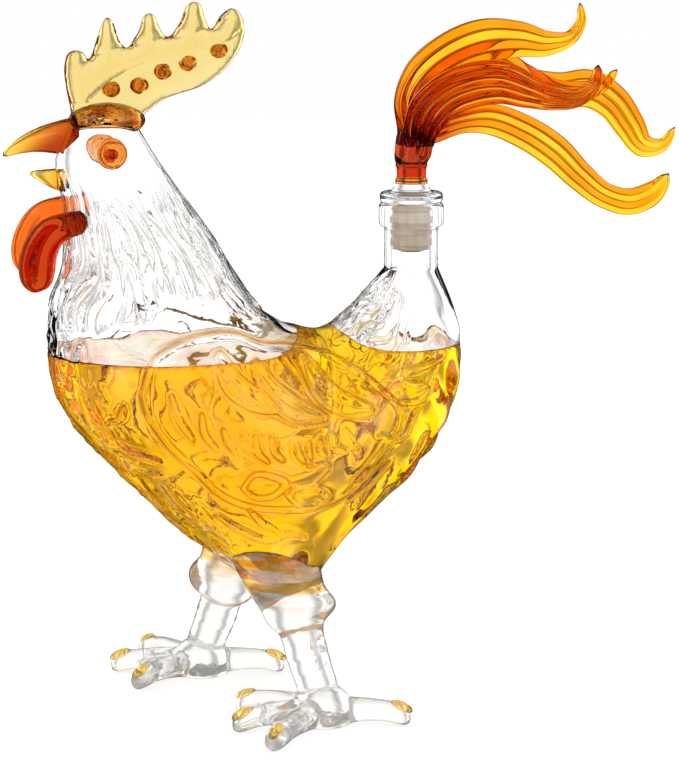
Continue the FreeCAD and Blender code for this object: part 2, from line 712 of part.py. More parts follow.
upper_blank = shape_object("upper_beak_blank", beak_shape(
    BEAK_PLACE_SHARES, BEAK_SECTION_SHARES, size("beak_length"), size("beak_depth"), size("beak_width")))
keep(cut("upper_beak", upper_blank, saddle_egg, weld_blank), "upper_beak")
lower_blank = shape_object("lower_beak_blank", beak_shape(
    JAW_PLACE_SHARES, JAW_SECTION_SHARES, size("jaw_length"), size("jaw_depth"), size("jaw_width")))
keep(cut("lower_beak", lower_blank, weld_blank), "lower_beak")

# Eyes, wattles and legs come in pairs: the left side is towards -Y

eye_outline = [
    (zero, zero),
    (dim("eye_radius"), zero),
    (dim("eye_radius"), dim("eye_height") - dim("eye_rim")),
    (dim("eye_radius") - dim("eye_rim"), dim("eye_height")),
    (zero, dim("eye_height")),
]
for side, sign in SIDES:
    face_y = (dim("body_width") * EYE_HALF_WIDTH_SHARE + dim("eye_proud")) * sign
    back_y = face_y - dim("eye_height") * sign
    eye_x, eye_z = body_x(EYE_PLACE_SHARES[0]), body_z(EYE_PLACE_SHARES[1])
    outward = Rotation(Vector(0, 0, 1), Vector(0, sign, 0))
    disc = revolved(side + "_eye_disc", eye_outline, (eye_x, back_y, eye_z), outward)
    pupil = ellipsoid(side + "_pupil_bead", *[dim("pupil_radius") * 2] * 3, (eye_x, face_y, eye_z))
    keep(pupil, side + "_pupil")
    keep(cut(side + "_eye", disc, weld_blank, pupil), side + "_eye")


def wattle_shape(sign):
    """A lobe that swells from a root on the throat and hangs down."""
    lift = size("wattle_stagger") if sign > 0 else 0
    root = body_place(WATTLE_PLACE_SHARES) + Vector(0, 0, lift)
    spine = []
    for step, (forward, down, wide, thick) in enumerate(WATTLE_SECTION_SHARES):
        flare = WATTLE_SIDE_SHARE + WATTLE_FLARE_SHARE * step / len(WATTLE_SECTION_SHARES)
        spine.append(root + Vector(
            -size("wattle_reach") * forward,
            sign * size("body_width") * flare,
            -size("wattle_drop") * down))
    wires = []
    for step, centre in enumerate(spine):
        along = spine[min(step + 1, len(spine) - 1)] - spine[max(step - 1, 0)]
        across = Vector(-along.z, 0, along.x).normalize()
        wide, thick = WATTLE_SECTION_SHARES[step][2:]
        wires.append(oval_wire(
            centre, across * (size("wattle_width") * wide / 2),
            Vector(0, size("wattle_thickness") * thick / 2, 0)))
    return solid_loft(wires)


for side, sign in SIDES:
    blank = shape_object(side + "_wattle_blank", wattle_shape(sign))
    keep(cut(side + "_wattle", blank, weld_blank), side + "_wattle")


def distance(*steps):
    """The straight length over three Dim steps."""
    value = math.sqrt(sum(step.value ** 2 for step in steps))
    return Dim(value, "sqrt(%s)" % " + ".join("(%s)^2" % step.text for step in steps))


# Legs and feet

floor_block = block(
    "floor_block", (chest_x, dim("foot_spread") * -1.5, dim("toe_length") * -1),
    (rear_x, dim("foot_spread") * 1.5, zero))


def toe_shape(ankle, heading, length):
    """Ovals from under the ankle to a rounded tip, sunk a little into the floor."""
    along = Vector(math.cos(heading), math.sin(heading), 0)
    aside = Vector(-along.y, along.x, 0)
    wires = []
    for reach, wide, high in TOE_SECTION_SHARES:
        top = size("toe_height") * high
        half = top * TOE_OVAL_SHARE
        centre = Vector(ankle.x, ankle.y, top - half) + along * (length * reach)
        wires.append(oval_wire(
            centre, aside * (size("toe_width") * wide / 2), Vector(0, 0, half)))
    return solid_loft(wires)


for side, sign in SIDES:
    hip = (
        body_x(HIP_PLACE_SHARES[0]) - dim("hip_stride") * (sign / 2),
        dim("hip_spread") * (sign / 2),
        body_z(HIP_PLACE_SHARES[1]))
    ankle = (
        body_x(STANCE_PLACE_SHARE) - dim("foot_stride") * (sign / 2),
        dim("foot_spread") * (sign / 2),
        dim("ankle_height"))
    leg_length = distance(*[a - h for a, h in zip(ankle, hip)])
    down = (Vector(*[a.value for a in ankle]) - Vector(*[h.value for h in hip])).normalize()
    lean = Rotation(Vector(0, 0, 1), down)
    root = [h - dim("thigh_drop") * (THIGH_RISE_SHARE * d) for h, d in zip(hip, down)]
    knee = [h + dim("thigh_drop") * d for h, d in zip(hip, down)]
    drop = dim("thigh_drop")
    thigh_outline = [(zero, zero), (dim("hip_radius"), zero)]
    for along, source, scale in THIGH_OUTLINE_SHARES:
        thigh_outline.append((dim(source) * scale, drop * (THIGH_RISE_SHARE + along)))
    thigh_outline.append((zero, drop * (THIGH_RISE_SHARE + 1)))
    blank = revolved(side + "_thigh_blank", thigh_outline, root, lean)
    keep(cut(side + "_thigh", blank, weld_blank), side + "_thigh")

    palm_outline = [(zero, zero)]
    for wide, high in PALM_OUTLINE_SHARES:
        palm_outline.append((dim("palm_radius") * wide, dim("palm_height") * high if high else zero))
    palm_outline.append((zero, dim("palm_height")))
    palm = revolved(side + "_palm", palm_outline, (ankle[0], ankle[1], zero))
    keep(palm, side + "_palm")

    shank = leg_length - drop
    shank_outline = [(zero, zero), (dim("shank_radius"), zero)]
    for share in SHANK_RING_SHARES:
        shank_outline += [
            (dim("shank_radius"), shank * (share - SHANK_RING_LENGTH_SHARE)),
            (dim("shank_radius") + dim("shank_ring"), shank * share),
            (dim("shank_radius"), shank * (share + SHANK_RING_LENGTH_SHARE)),
        ]
    shank_outline += [(dim("shank_radius"), shank), (zero, shank)]
    blank = revolved(side + "_shank_blank", shank_outline, knee, lean)
    keep(cut(side + "_shank", blank, palm), side + "_shank")

    claws = []
    for toe, turn, source in TOES[side]:
        heading = math.radians(turn)
        length = dim(source)
        label = "%s_toe_%s" % (side, toe)
        claw = ellipsoid(
            label + "_claw", dim("claw_length"), dim("claw_width"), dim("claw_height"), (
                ankle[0] + length * (CLAW_PLACE_SHARE * math.cos(heading)),
                ankle[1] + length * (CLAW_PLACE_SHARE * math.sin(heading)),
                dim("toe_height") * CLAW_LIFT_SHARE),
            Rotation(math.degrees(heading), CLAW_TILT, 0))
        claws.append(claw)
        middle = Vector(*[a.value for a in ankle])
        blank = shape_object(label + "_blank", toe_shape(middle, heading, length.value))
        keep(cut(label, blank, floor_block, palm, claw), label)
    group = keep(doc.addObject("Part::Compound", side + "_claws"), side + "_claws")
    group.Links = claws

# Build, check and write every sub-part

doc.recompute()
for thing in doc.Objects:
    if "Invalid" in thing.State or "Error" in thing.State:
        raise RuntimeError("not built: " + thing.Label)
boxes = []
for label, thing in sub_parts.items():
    if thing.Shape.isNull() or not thing.Shape.isValid():
        raise RuntimeError("no valid solid: " + label)
    boxes.append(thing.Shape.optimalBoundingBox())
    print("%-18s solids %d volume %.0f" % (label, len(thing.Shape.Solids), thing.Shape.Volume))
for low, high in (("XMin", "XMax"), ("YMin", "YMax"), ("ZMin", "ZMax")):
    print(low, min(getattr(b, low) for b in boxes), high, max(getattr(b, high) for b in boxes))
os.makedirs("parts", exist_ok=True)
for label, thing in sub_parts.items():
    thing.Shape.exportStep("parts/%s.step" % label)
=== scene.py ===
"""Looks of the rooster decanter: blown and lampworked glass, amber liquor and a silicone seal.

Tables are in millimetres, in the frame they were drawn in; metres() moves them into the CAD frame.
"""

import bmesh
import bpy
import numpy as np
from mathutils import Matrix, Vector


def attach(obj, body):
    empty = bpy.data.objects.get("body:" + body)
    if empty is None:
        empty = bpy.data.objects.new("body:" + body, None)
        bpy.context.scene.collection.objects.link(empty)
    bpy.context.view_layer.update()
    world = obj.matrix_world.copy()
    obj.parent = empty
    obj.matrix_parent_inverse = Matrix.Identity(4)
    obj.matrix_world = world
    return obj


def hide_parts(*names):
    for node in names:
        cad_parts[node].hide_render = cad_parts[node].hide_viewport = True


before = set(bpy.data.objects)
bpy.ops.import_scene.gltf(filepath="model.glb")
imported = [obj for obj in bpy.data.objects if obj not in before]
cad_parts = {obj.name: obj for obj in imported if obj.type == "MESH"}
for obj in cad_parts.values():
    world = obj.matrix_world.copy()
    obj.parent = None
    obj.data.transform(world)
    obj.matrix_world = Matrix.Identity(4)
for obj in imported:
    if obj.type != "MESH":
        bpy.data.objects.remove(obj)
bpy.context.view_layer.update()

MM = 0.001
DRAWN_SHIFT = -6.35
SEED = 7

# Vessel sections from the crown to the pour neck, across the U of the body:
# inner x, inner z, outer x, outer z, half width
BODY_SECTIONS = (
    (-82.0, 235.0, -104.0, 236.0, 9.0),
    (-75.0, 223.0, -112.5, 221.0, 15.2),
    (-63.0, 204.0, -109.5, 202.5, 18.3),
    (-50.0, 185.0, -109.5, 180.5, 24.6),
    (-38.0, 165.5, -116.0, 160.0, 35.6),
    (-24.5, 154.5, -112.5, 126.0, 46.6),
    (-15.5, 151.2, -83.0, 89.5, 51.0),
    (-11.0, 150.3, -49.0, 58.4, 49.5),
    (-8.0, 150.4, -24.0, 44.0, 46.0),
    (-4.5, 151.2, 1.0, 67.4, 43.0),
    (0.0, 153.8, 25.5, 89.0, 38.6),
    (5.5, 158.6, 42.8, 112.6, 32.6),
    (10.5, 164.2, 49.4, 139.4, 25.4),
    (14.5, 169.2, 46.2, 159.0, 17.6),
    (18.61, 174.05, 40.21, 174.05, 10.8),
)
WALL, WELD_LAP = 2.5, 0.5
# Dome of the crown: rise, how many rings close it, and their lean in radians from first to last
CROWN_RISE, DOME_RINGS, DOME_LEAN = 4.0, 8, (1.45, 0.25)
NECK_X = 29.41
BODY_ROWS, BODY_AROUND = 258, 288
# Rows of the hollow, close together under the crown: out of how many, and which
HOLLOW_STEPS, HOLLOW_ROWS = 160, (2, 4, 6, 9) + tuple(range(12, 150, 4))
HOLLOW_WAVE, HOLLOW_RISE, CEILING_RISE = 18.0, 0.2, 1.0
BLANK_ROWS, BLANK_AROUND = 150, 120
# Relief fades in below the crown and out below the pour neck, over this many rows
CROWN_FADE, NECK_FADE = 10, 15

# Pour neck and its lip ring outside, then the mouth and the bore: radius, height
NECK_OUTLINE = (
    (10.95, 175.0), (10.8, 176.5), (10.8, 181.0), (10.8, 186.0), (10.8, 189.3), (10.95, 190.1),
    (11.5, 190.6), (12.3, 190.9), (12.8, 191.4), (13.0, 192.2), (13.0, 194.0), (13.0, 196.5),
    (13.0, 198.4), (12.8, 199.3), (12.4, 199.85), (11.8, 200.05), (10.4, 200.05), (9.4, 200.05),
    (8.85, 199.8), (8.6, 199.2), (8.6, 196.0), (8.6, 190.0), (8.6, 184.0), (8.6, 178.0),
)
# How many of its last rows are in the bore, and where the bore opens into the hollow: radius, height
BORE_ROWS, BORE_FOOT = 5, ((8.6, 174.6), (8.55, 172.5))

# Hem of the hackle round the foot of the neck: x, z
HACKLE_HEM = (
    (-118, 163), (-105, 156), (-95, 157), (-88, 159), (-82, 161), (-76, 167), (-69, 169), (-60, 168),
    (-53, 171), (-46, 163), (-38, 159),
)
HACKLE_STRANDS, HACKLE_RISE, HACKLE_LAYER = 36, 0.75, 0.55
HEM_SCATTER, HEM_SCALLOP = 2.6, 3.0

# Wing outline on the flank, closed: x, z
WING_OUTLINE = (
    (-86, 134), (-82, 146), (-73, 152), (-60, 155), (-49, 154), (-40, 150), (-21, 147), (-5, 141),
    (7, 132), (15, 122), (11, 113), (2, 102), (-7, 93), (-19, 89), (-31, 88), (-46, 90), (-57, 95),
    (-67, 105), (-79, 118), (-84, 126),
)
WING_FIELD, WING_BEAD, WING_BEAD_HALF, WING_POINTS = 0.8, 1.2, 1.3, 160
# Large feathers of the wing: spine from root to tip
WING_FEATHERS = (
    ((-57, 147), (-53, 138), (-46, 132), (-37, 127)),
    ((-43, 143), (-38, 134), (-30, 127), (-16, 122)),
    ((-22, 142), (-17, 133), (-9, 127), (3, 124)),
)
FEATHER_HALF, FEATHER_RISE, FEATHER_RIM, FEATHER_VEIN = 4.8, 0.8, 0.7, 0.5
FEATHER_LINE, SPINE_POINTS = 0.9, 24
# Raised threads of glass on the flank: x, z along each
FLANK_THREADS = (
    ((-76, 134), (-73, 125), (-68, 117)), ((-65, 127), (-64, 120), (-59, 113)),
    ((-57, 121), (-55, 116), (-52, 112)), ((-50, 118), (-48, 114), (-45, 112)),
    ((-45, 118), (-44, 112), (-40, 108)), ((-39, 117), (-37, 111), (-34, 108)),
    ((-29, 114), (-28, 110), (-26, 107)), ((-24, 114), (-24, 111), (-23, 108)),
    ((-19, 114), (-19, 110), (-17, 108)), ((-13, 115), (-12, 111), (-9, 110)),
    ((-8, 117), (-6, 113), (-4, 110)),
    ((-49, 98), (-45, 103), (-38, 102), (-33, 99), (-36, 95), (-44, 94), (-49, 98)),
    ((-32, 94), (-27, 97), (-19, 96), (-15, 93), (-19, 90), (-27, 90), (-32, 94)),
    ((-24, 105), (-16, 104), (-21, 100), (-33, 98)),
    ((-104, 115), (-93, 111), (-79, 107)), ((-98, 122), (-94, 124), (-93, 129)),
    ((-100, 109), (-89, 102), (-78, 101)),
    ((20, 137), (28, 139), (35, 141)), ((19, 133), (26, 132), (32, 137)),
    ((15, 126), (24, 126), (29, 131)), ((6, 114), (15, 112), (21, 118), (26, 125)),
    ((-4, 97), (5, 102), (16, 110)), ((-6, 90), (2, 95), (12, 103)),
    ((-57, 85), (-47, 79), (-36, 75), (-31, 78), (-24, 76)), ((-46, 89), (-40, 82), (-34, 79)),
    ((-10, 155), (0, 162), (9, 169)), ((-5, 150), (5, 159), (14, 168)), ((3, 149), (13, 158), (19, 166)),
)
THREAD_HALF_WIDTH, THREAD_RISE = 1.4, 1.5
# Farthest distance from a line that the marks for the material hold
MARK_REACH = 9.0
# Waves of the worked glass, length and rise: the net on the breast, the lumps on the tail bulge, the keel
# with the heights where it fades in, and slow ones all over
NET_WAVE, NET_RISE = 11.0, 1.1
LUMP_WAVE, LUMP_RISE = 17.0, 0.7
KEEL_WAVE, KEEL_RISE, KEEL_Z = 24.0, 1.0, (88, 70)
SLOW_WAVES = ((24.0, 0.35), (12.0, 0.10))

# Liquor: its level, how far it laps into the wall, the climb of its rim, and the filled valley
LIQUOR_LEVEL, LIQUOR_LAP = 143.6, 0.9
RIM_CLIMB, RIM_REACH = 0.9, 0.8
LIQUOR_ROWS, LIQUOR_AROUND = 170, 192
VALLEY_X, VALLEY_HALF, VALLEY_LIFT = -11.0, 13.0, 9.0
TOP_SHARES = (0.0, 0.004, 0.009, 0.016, 0.03, 0.07, 0.2, 0.5, 0.8, 0.93, 0.97, 0.984, 0.991, 0.996, 1.0)

# Silicone sleeve, and the outline of one of its ribs: radius, share of the pitch
SLEEVE_FOOT, SLEEVE_PITCH, SLEEVE_RIBS = 181.55, 4.625, 4
SLEEVE_RIB_OUTLINE = (
    (7.65, 0.03), (7.65, 0.26), (7.8, 0.31), (8.3, 0.38), (8.5, 0.44), (8.55, 0.52), (8.42, 0.60),
    (8.55, 0.68), (8.55, 0.80), (8.5, 0.87), (8.3, 0.92), (7.8, 0.97),
)
# Bore of the sleeve, radius at its two ends, trim of the ends, and distance of the bore's inner rows
SLEEVE_BORE, SLEEVE_ENDS, SLEEVE_TRIM, SLEEVE_LAND = 5.55, (7.5, 7.6), 0.05, 6.0
# Glass plug with its flange and collar, and the stem on it: radius, height
PLUG_OUTLINE = (
    (0.5, 180.55), (4.4, 180.6), (5.1, 180.85), (5.5, 181.5), (5.5, 186.0), (5.5, 193.0), (5.5, 199.6),
    (5.7, 199.95), (6.3, 200.1), (8.0, 200.1), (10.8, 200.1), (11.6, 200.2), (12.25, 200.55), (12.55, 201.1),
    (12.6, 202.0), (12.6, 202.9), (12.5, 203.5), (12.15, 204.05), (11.5, 204.4), (10.4, 204.45),
    (9.0, 204.5), (8.2, 204.8), (7.6, 205.5), (7.1, 206.4), (6.75, 207.3), (6.55, 207.78), (5.6, 207.8),
    (0.5, 207.8),
)
STEM_OUTLINE = (
    (0.5, 207.9), (5.8, 207.9), (6.35, 208.05), (6.5, 208.6), (6.45, 209.2), (6.1, 209.8), (5.85, 210.3),
    (5.85, 211.4), (5.85, 212.6), (6.0, 213.9), (6.4, 214.9), (6.45, 215.25), (5.9, 215.4), (0.5, 215.4),
)
STEM_DISC_TOP = 210.0
# Gather of the plume roots: height, lean along X, half length, half width
GATHER_SECTIONS = (
    (215.5, 0.0, 6.2, 6.4), (216.4, 0.0, 6.5, 6.9), (217.7, 0.3, 7.0, 8.2), (220.3, 0.7, 7.25, 10.2),
    (223.0, 1.0, 7.2, 11.0), (226.0, 0.8, 6.7, 9.8), (228.8, 0.4, 5.3, 7.6), (230.6, 0.2, 3.3, 4.6),
    (231.4, 0.1, 1.2, 1.6),
)
# Flutes between the plume roots: count, depth, and the heights where they fade in and out
GATHER_FLUTES, GATHER_PINCH, FLUTES_IN, FLUTES_OUT = 10, 0.045, (216.5, 222.0), (231.0, 226.0)
# Plumes: width of a lane, how much the lanes fan out, and thickness where wide and at the tip
PLUME_LANE, PLUME_FAN, PLUME_THICKNESS, PLUME_TIP = 4.3, 0.55, 4.2, 2.4
PLUME_LEAST_HALF, PLUME_FULL_HALF = 0.6, 5.25
# Shares of the length: where the root ends, where the rods run together, and where the tip is rounded
PLUME_ROOT, PLUME_FUSING, PLUME_ROUNDING = 0.06, (0.78, 0.97), 0.965
# Tone and depth of each rod across a plume
ROD_TONES = (0.05, 0.80, 0.22, 1.00, 0.35)
ROD_DEPTHS = (0.92, 1.0, 0.88, 1.0, 0.9)
# Each plume: rods side by side, lane, and the spine from the gather to the tip as x, z, half width
PLUMES = {
    "top_plume": (4, 0, (
        (30.5, 223, 5.2), (28.6, 232, 5.4), (28, 240, 5.8), (33, 249.3, 7.8), (44.2, 258.2, 8.7),
        (58.5, 263.6, 8.9), (73, 264.2, 7.3), (86, 262.5, 4.9), (94.8, 264.6, 3), (99.4, 271.2, 2.2),
        (98.6, 278.6, 1))),
    "near_plume": (5, -2, (
        (30.5, 223, 5.6), (31, 229.5, 7.2), (33.4, 235.6, 8.6), (40, 242.3, 8.8), (51, 247, 9),
        (62.5, 248, 8.6), (74.5, 244.3, 6.8), (85, 241, 4.4), (94.4, 241.4, 3.6), (101.3, 247, 3),
        (102.6, 254.6, 1.4))),
    "low_plume": (4, -1, (
        (31.5, 223, 4.6), (33.5, 226.4, 4.4), (39.5, 229, 4.4), (48.5, 232, 4.5), (60, 233, 6.1),
        (74, 228, 6.7), (87.4, 219.4, 6.8), (98.2, 209.2, 5.9), (108.8, 201.4, 5.2), (119.3, 198.8, 5.4),
        (129.2, 202.6, 4.8), (135.4, 210, 1.6))),
    "far_plume": (4, 1, (
        (30.5, 223, 5.2), (30.6, 231, 6), (35.4, 240.5, 7.2), (47.5, 250.4, 8.2), (62, 253.6, 8.6),
        (76, 247.6, 7.2), (90, 242.8, 5.2), (103, 242.8, 4.1), (112.4, 246.2, 2.7), (117, 251.4, 1.2))),
    "far_low_plume": (4, 2, (
        (31, 223, 5), (33, 229, 5.6), (42, 237.5, 6.2), (58, 243.6, 7), (76, 245, 7.2), (95, 242.8, 7.4),
        (106.6, 243.4, 7.7), (117.2, 237.4, 7.2), (124.4, 228.2, 6.5), (131, 219.6, 4.8),
        (138.8, 219.6, 2.9), (144.6, 227, 1.3))),
}

# Comb outline from the front of its foot over the points to the rear: x, z
COMB_OUTLINE = (
    (-106.2, 236.1), (-106.6, 239.8), (-108.1, 248.2), (-108.4, 257.3), (-107.0, 261.1), (-104.1, 262.1),
    (-101.2, 261.0), (-99.8, 258.5), (-95.6, 267.1), (-93.0, 273.3), (-91.7, 274.7), (-90.5, 273.9),
    (-88.9, 269.5), (-87.2, 265.0), (-84.7, 262.7), (-79.6, 269.0), (-76.8, 275.4), (-75.3, 276.1),
    (-73.4, 275.0), (-71.9, 271.0), (-68.6, 266.7), (-63.4, 272.2), (-59.8, 279.4), (-57.8, 280.3),
    (-55.7, 279.5), (-54.0, 274.6), (-51.5, 269.5), (-46.3, 275.8), (-42.9, 277.6), (-39.9, 275.7),
    (-38.2, 268.2), (-39.5, 263.1), (-43.0, 257.3), (-49.1, 251.5), (-56.0, 247.4), (-63.7, 245.0),
    (-69.7, 243.0), (-74.0, 240.1), (-78.3, 236.4), (-79.2, 233.9),
)
COMB_HALF, COMB_ROUND = 4.0, 1.6
# Line along the comb between its pointed upper band and the thinner field of studs: x, z
COMB_LINE = (
    (-100, 243), (-96, 247), (-91, 251), (-85, 254.5), (-77, 257.5), (-67, 259.5), (-56, 261), (-48, 264),
    (-40, 269),
)
# Line along the foot of the points
POINT_LINE = (
    (-100, 259), (-95.6, 260.6), (-90, 262), (-85, 263.5), (-77, 264.6), (-70, 266), (-60, 267.3),
    (-51, 271), (-44, 274),
)
# Comb faces: share of the thickness left at the edge, reach of the swell, thinning of the field of studs,
# depth of the grooves along the two lines and their half width
COMB_EDGE, COMB_SWELL, COMB_THINNING = 0.42, 6.0, 0.24
FOLD_GROOVE, POINT_GROOVE, GROOVE_HALF = 0.16, 0.13, 0.9
COMB_VOXEL, COMB_SMOOTHING = 0.65, 10
COMB_STUDS = ((-90.9, 247.1), (-79.8, 248.2), (-70.4, 253.5), (-60.6, 256.7), (-48.6, 261.6))
STUD_RADIUS, STUD_HALF_DEPTH, STUD_SQUASH = 3.2, 5.0, 0.9
STUD_WAVE, STUD_LUMPS, STUD_LIMITS = 4.5, 0.22, (-0.3, 0.14)
SADDLE_CENTRE, SADDLE_HALVES, SADDLE_LAP = (-92.5, 0.0, 235.0), (15.0, 9.5, 7.0), 0.3

# Beak halves from the head to the tip: x, middle z, depth, width
BEAK_SECTIONS = (
    (-104.3, 229.0, 15.6, 15.0), (-112.2, 228.7, 12.5, 12.9), (-120.2, 227.8, 9.0, 9.3),
    (-127.0, 225.6, 5.9, 5.7), (-131.6, 223.2, 2.9, 2.9), (-132.9, 222.5, 1.2, 1.2),
)
JAW_SECTIONS = (
    (-105.7, 211.8, 10.5, 11.0), (-114.2, 212.8, 7.6, 8.8), (-118.9, 214.1, 4.4, 5.5),
    (-121.8, 214.8, 2.2, 2.6), (-122.8, 214.9, 0.9, 1.0),
)
EYE_X, EYE_Z, EYE_FACE = -93.0, 223.3, 17.76
# Eye disc, from the head outwards: radius, distance back from its face
EYE_OUTLINE = (
    (5.6, 5.2), (6.0, 4.4), (6.0, 2.0), (5.85, 1.1), (5.4, 0.45), (4.7, 0.1), (4.2, 0.12), (3.7, 0.5),
    (3.1, 0.62), (2.35, 0.66),
)
PUPIL_RADIUS = 2.1
# Wattle sections from the root to the end of the lobe: forward, down, half width, half thickness
WATTLE_SECTIONS = (
    (-1.9, -0.5, 4.6, 3.6), (6.1, 0.8, 5.2, 3.8), (12.5, 3.9, 6.2, 4.3), (16.7, 10.4, 6.9, 4.65),
    (18.2, 18.2, 7.0, 4.75), (18.0, 22.9, 5.6, 3.8), (17.8, 25.2, 3.2, 2.3), (17.7, 25.7, 1.6, 1.2),
)
WATTLE_ROOT = {-1: (-104.0, -9.6, 196.4), 1: (-104.0, 9.6, 200.4)}
WATTLE_FLARE, WATTLE_SINK = 3.2, 0.34

# Legs: hip and ankle of each, and the outline along the leg as distance, radius and bulge along X
LEGS = {
    "left": ((-28.0, -23.0, 55.0), (-16.15, -40.5, 8.0)),
    "right": ((-37.0, 23.0, 55.0), (-50.15, 40.5, 8.0)),
}
LEG_OUTLINE = (
    (-15.0, 18.0, 0.0), (-8.0, 17.2, 0.0), (-2.0, 15.9, 0.0), (4.0, 14.6, 0.2), (8.0, 13.9, 0.8),
    (11.0, 14.1, 1.8), (14.0, 14.5, 2.6), (17.0, 13.4, 2.7), (19.3, 11.0, 1.9), (21.3, 9.3, 0.9),
    (24.0, 8.7, 0.3), (28.0, 8.5, 0.0), (50.0, 7.8, 0.0), (53.5, 7.8, 0.0),
)
SHANK_RINGS, RING_RISE, RING_HALF = (31.5, 34.6, 40.5), 0.35, 0.7
SHANK_RIPPLE, LEG_VOXEL, LEG_SMOOTHING = 0.16, 0.9, 6
PALM_OUTLINE = (
    (0.5, 0.0), (11.0, 0.0), (12.1, 1.3), (12.5, 3.5), (12.1, 6.5), (11.0, 9.5), (9.2, 11.9), (7.5, 13.5),
    (0.5, 13.5),
)
# Toes: heading in degrees from +X, and length
TOES = {
    "left": ((142, 38.0), (190, 38.0), (231, 45.0), (-20, 35.0)),
    "right": ((213, 38.0), (165, 38.0), (119, 40.0), (-12, 35.0)),
}
# Toe sections from the ankle to the tip: share of the length, half width, underside, top
TOE_SECTIONS = (
    (0.05, 4.2, 0.0, 11.2), (0.20, 4.5, 0.0, 11.0), (0.34, 4.8, 0.5, 10.6), (0.50, 5.2, 1.3, 10.3),
    (0.64, 5.3, 1.6, 9.9), (0.76, 5.2, 1.3, 9.4), (0.85, 4.9, 0.5, 8.8), (0.92, 4.2, 0.0, 7.8),
    (0.97, 3.0, 0.1, 6.2), (0.995, 1.2, 1.6, 4.2),
)
WEB_REACH, WEB_HALVES, WEB_Z = 16.0, (10.5, 6.5, 3.8), 4.2
CLAW_SHARE, CLAW_Z, CLAW_HALVES, CLAW_TILT = 0.89, 7.3, (4.7, 2.3, 2.1), 22.0

# Floor: reach, underside and top, just below the soles
FLOOR_REACH, FLOOR_BELOW, FLOOR_TOP = 3000.0, -0.6, -0.02
# Studio: bearing behind the object as the photograph looks, dark bands and soft boxes round it
STUDIO_BEARING, DARK_BANDS, SOFT_BOXES = 77.0, 8.0, 4.0
PANEL_LIGHT, PANEL_SWING, BAND_DEPTH, BAND_POWER = 1.60, 0.35, 1.12, 3.5
ROOM_LIGHT, BOX_LIGHT, BOX_POWER, BOX_HEIGHT = 0.03, 1.3, 20.0, 0.35
# Lamps in metres: place, size, watts
LAMPS = {"key_lamp": ((-0.9, -1.0, 1.1), 0.7, 2.0), "fill_lamp": ((1.1, -0.7, 0.8), 0.5, 1.0)}
LAMP_AIM = (0.0, 0.0, 0.14)
# Camera of the photograph in metres, and its lens in millimetres
CAMERA_PLACE, CAMERA_AIM = (-0.2538, -1.0718, 0.322), (DRAWN_SHIFT * MM, 0.0, 0.129)
CAMERA_LENS, CAMERA_SENSOR = 147.55, 36.0
BOUNCES = 32


# Surfaces

def metres(points):
    """Drawn millimetres as CAD-frame metres: the drawn shift along X, then the scale."""
    return (np.asarray(points, float) + (DRAWN_SHIFT, 0.0, 0.0)) * MM


def through(rows, count):
    """A smooth curve through the rows at even steps of summed distance: each stretch is a cubic
    whose end slopes are the weighted slopes of the stretches on both sides."""
    rows = np.asarray(rows, float)
    at = np.concatenate([[0.0], np.cumsum(np.linalg.norm(np.diff(rows, axis=0), axis=1))])
    slope = np.gradient(rows, at, axis=0)
    run = np.linspace(0.0, at[-1], count)
    low = np.clip(np.searchsorted(at, run, side="right") - 1, 0, len(at) - 2)
    span = (at[low + 1] - at[low])[:, None]
    t = (run - at[low])[:, None] / span
    return ((2 * t ** 3 - 3 * t ** 2 + 1) * rows[low] + (t ** 3 - 2 * t ** 2 + t) * span * slope[low]
            + (3 * t ** 2 - 2 * t ** 3) * rows[low + 1] + (t ** 3 - t ** 2) * span * slope[low + 1])


def step(low, high, value):
    """A smooth rise from 0 at low to 1 at high."""
    t = np.clip((value - low) / (high - low), 0.0, 1.0)
    return t * t * (3 - 2 * t)


def turn(count):
    """Even angles once round."""
    return np.linspace(0.0, 2 * np.pi, count, endpoint=False)


def unit(rows):
    """Each vector over its own length."""
    return rows / np.maximum(np.linalg.norm(rows, axis=-1, keepdims=True), 1e-9)


def in_plane(x, z):
    """Rows of x, 0 and z, in the rooster's middle plane."""
    return np.stack([x, np.zeros(len(x)), z], -1)


def near(x, z, line):
    """Distance from each grid point to a line of straight stretches, and the share of its length
    at the nearest place: the least over the stretches of the distance to the clipped foot point."""
    line = np.asarray(line, float)
    runs = np.linalg.norm(np.diff(line, axis=0), axis=1)
    before = np.concatenate([[0.0], np.cumsum(runs)])
    best, share = np.full(x.shape, np.inf), np.zeros(x.shape)
    for (ax, az), (bx, bz), run, start in zip(line[:-1], line[1:], runs, before):
        t = np.clip(((x - ax) * (bx - ax) + (z - az) * (bz - az)) / run ** 2, 0.0, 1.0)
        gap = np.hypot(x - ax - t * (bx - ax), z - az - t * (bz - az))
        closer = gap < best
        best = np.where(closer, gap, best)
        share = np.where(closer, (start + t * run) / before[-1], share)
    return best, share


def inside(x, z, outline):
    """True where a vertical line up from the point crosses the outline an odd number of times."""
    outline = np.asarray(outline, float)
    odd = np.zeros(x.shape, bool)
    for (ax, az), (bx, bz) in zip(outline, np.roll(outline, -1, axis=0)):
        crosses = (ax > x) != (bx > x)
        height = az + (x - ax) * (bz - az) / np.where(bx == ax, 1.0, bx - ax)
        odd ^= crosses & (z < height)
    return odd


def normals(grid):
    """Unit normals of a grid of rings, pointing away from the middles of the rings: the cross product
    of the slopes along and round it."""
    around = np.roll(grid, -1, axis=1) - np.roll(grid, 1, axis=1)
    cross = unit(np.cross(np.gradient(grid, axis=0), around))
    return cross * np.sign((cross * (grid - grid.mean(1, keepdims=True))).sum())


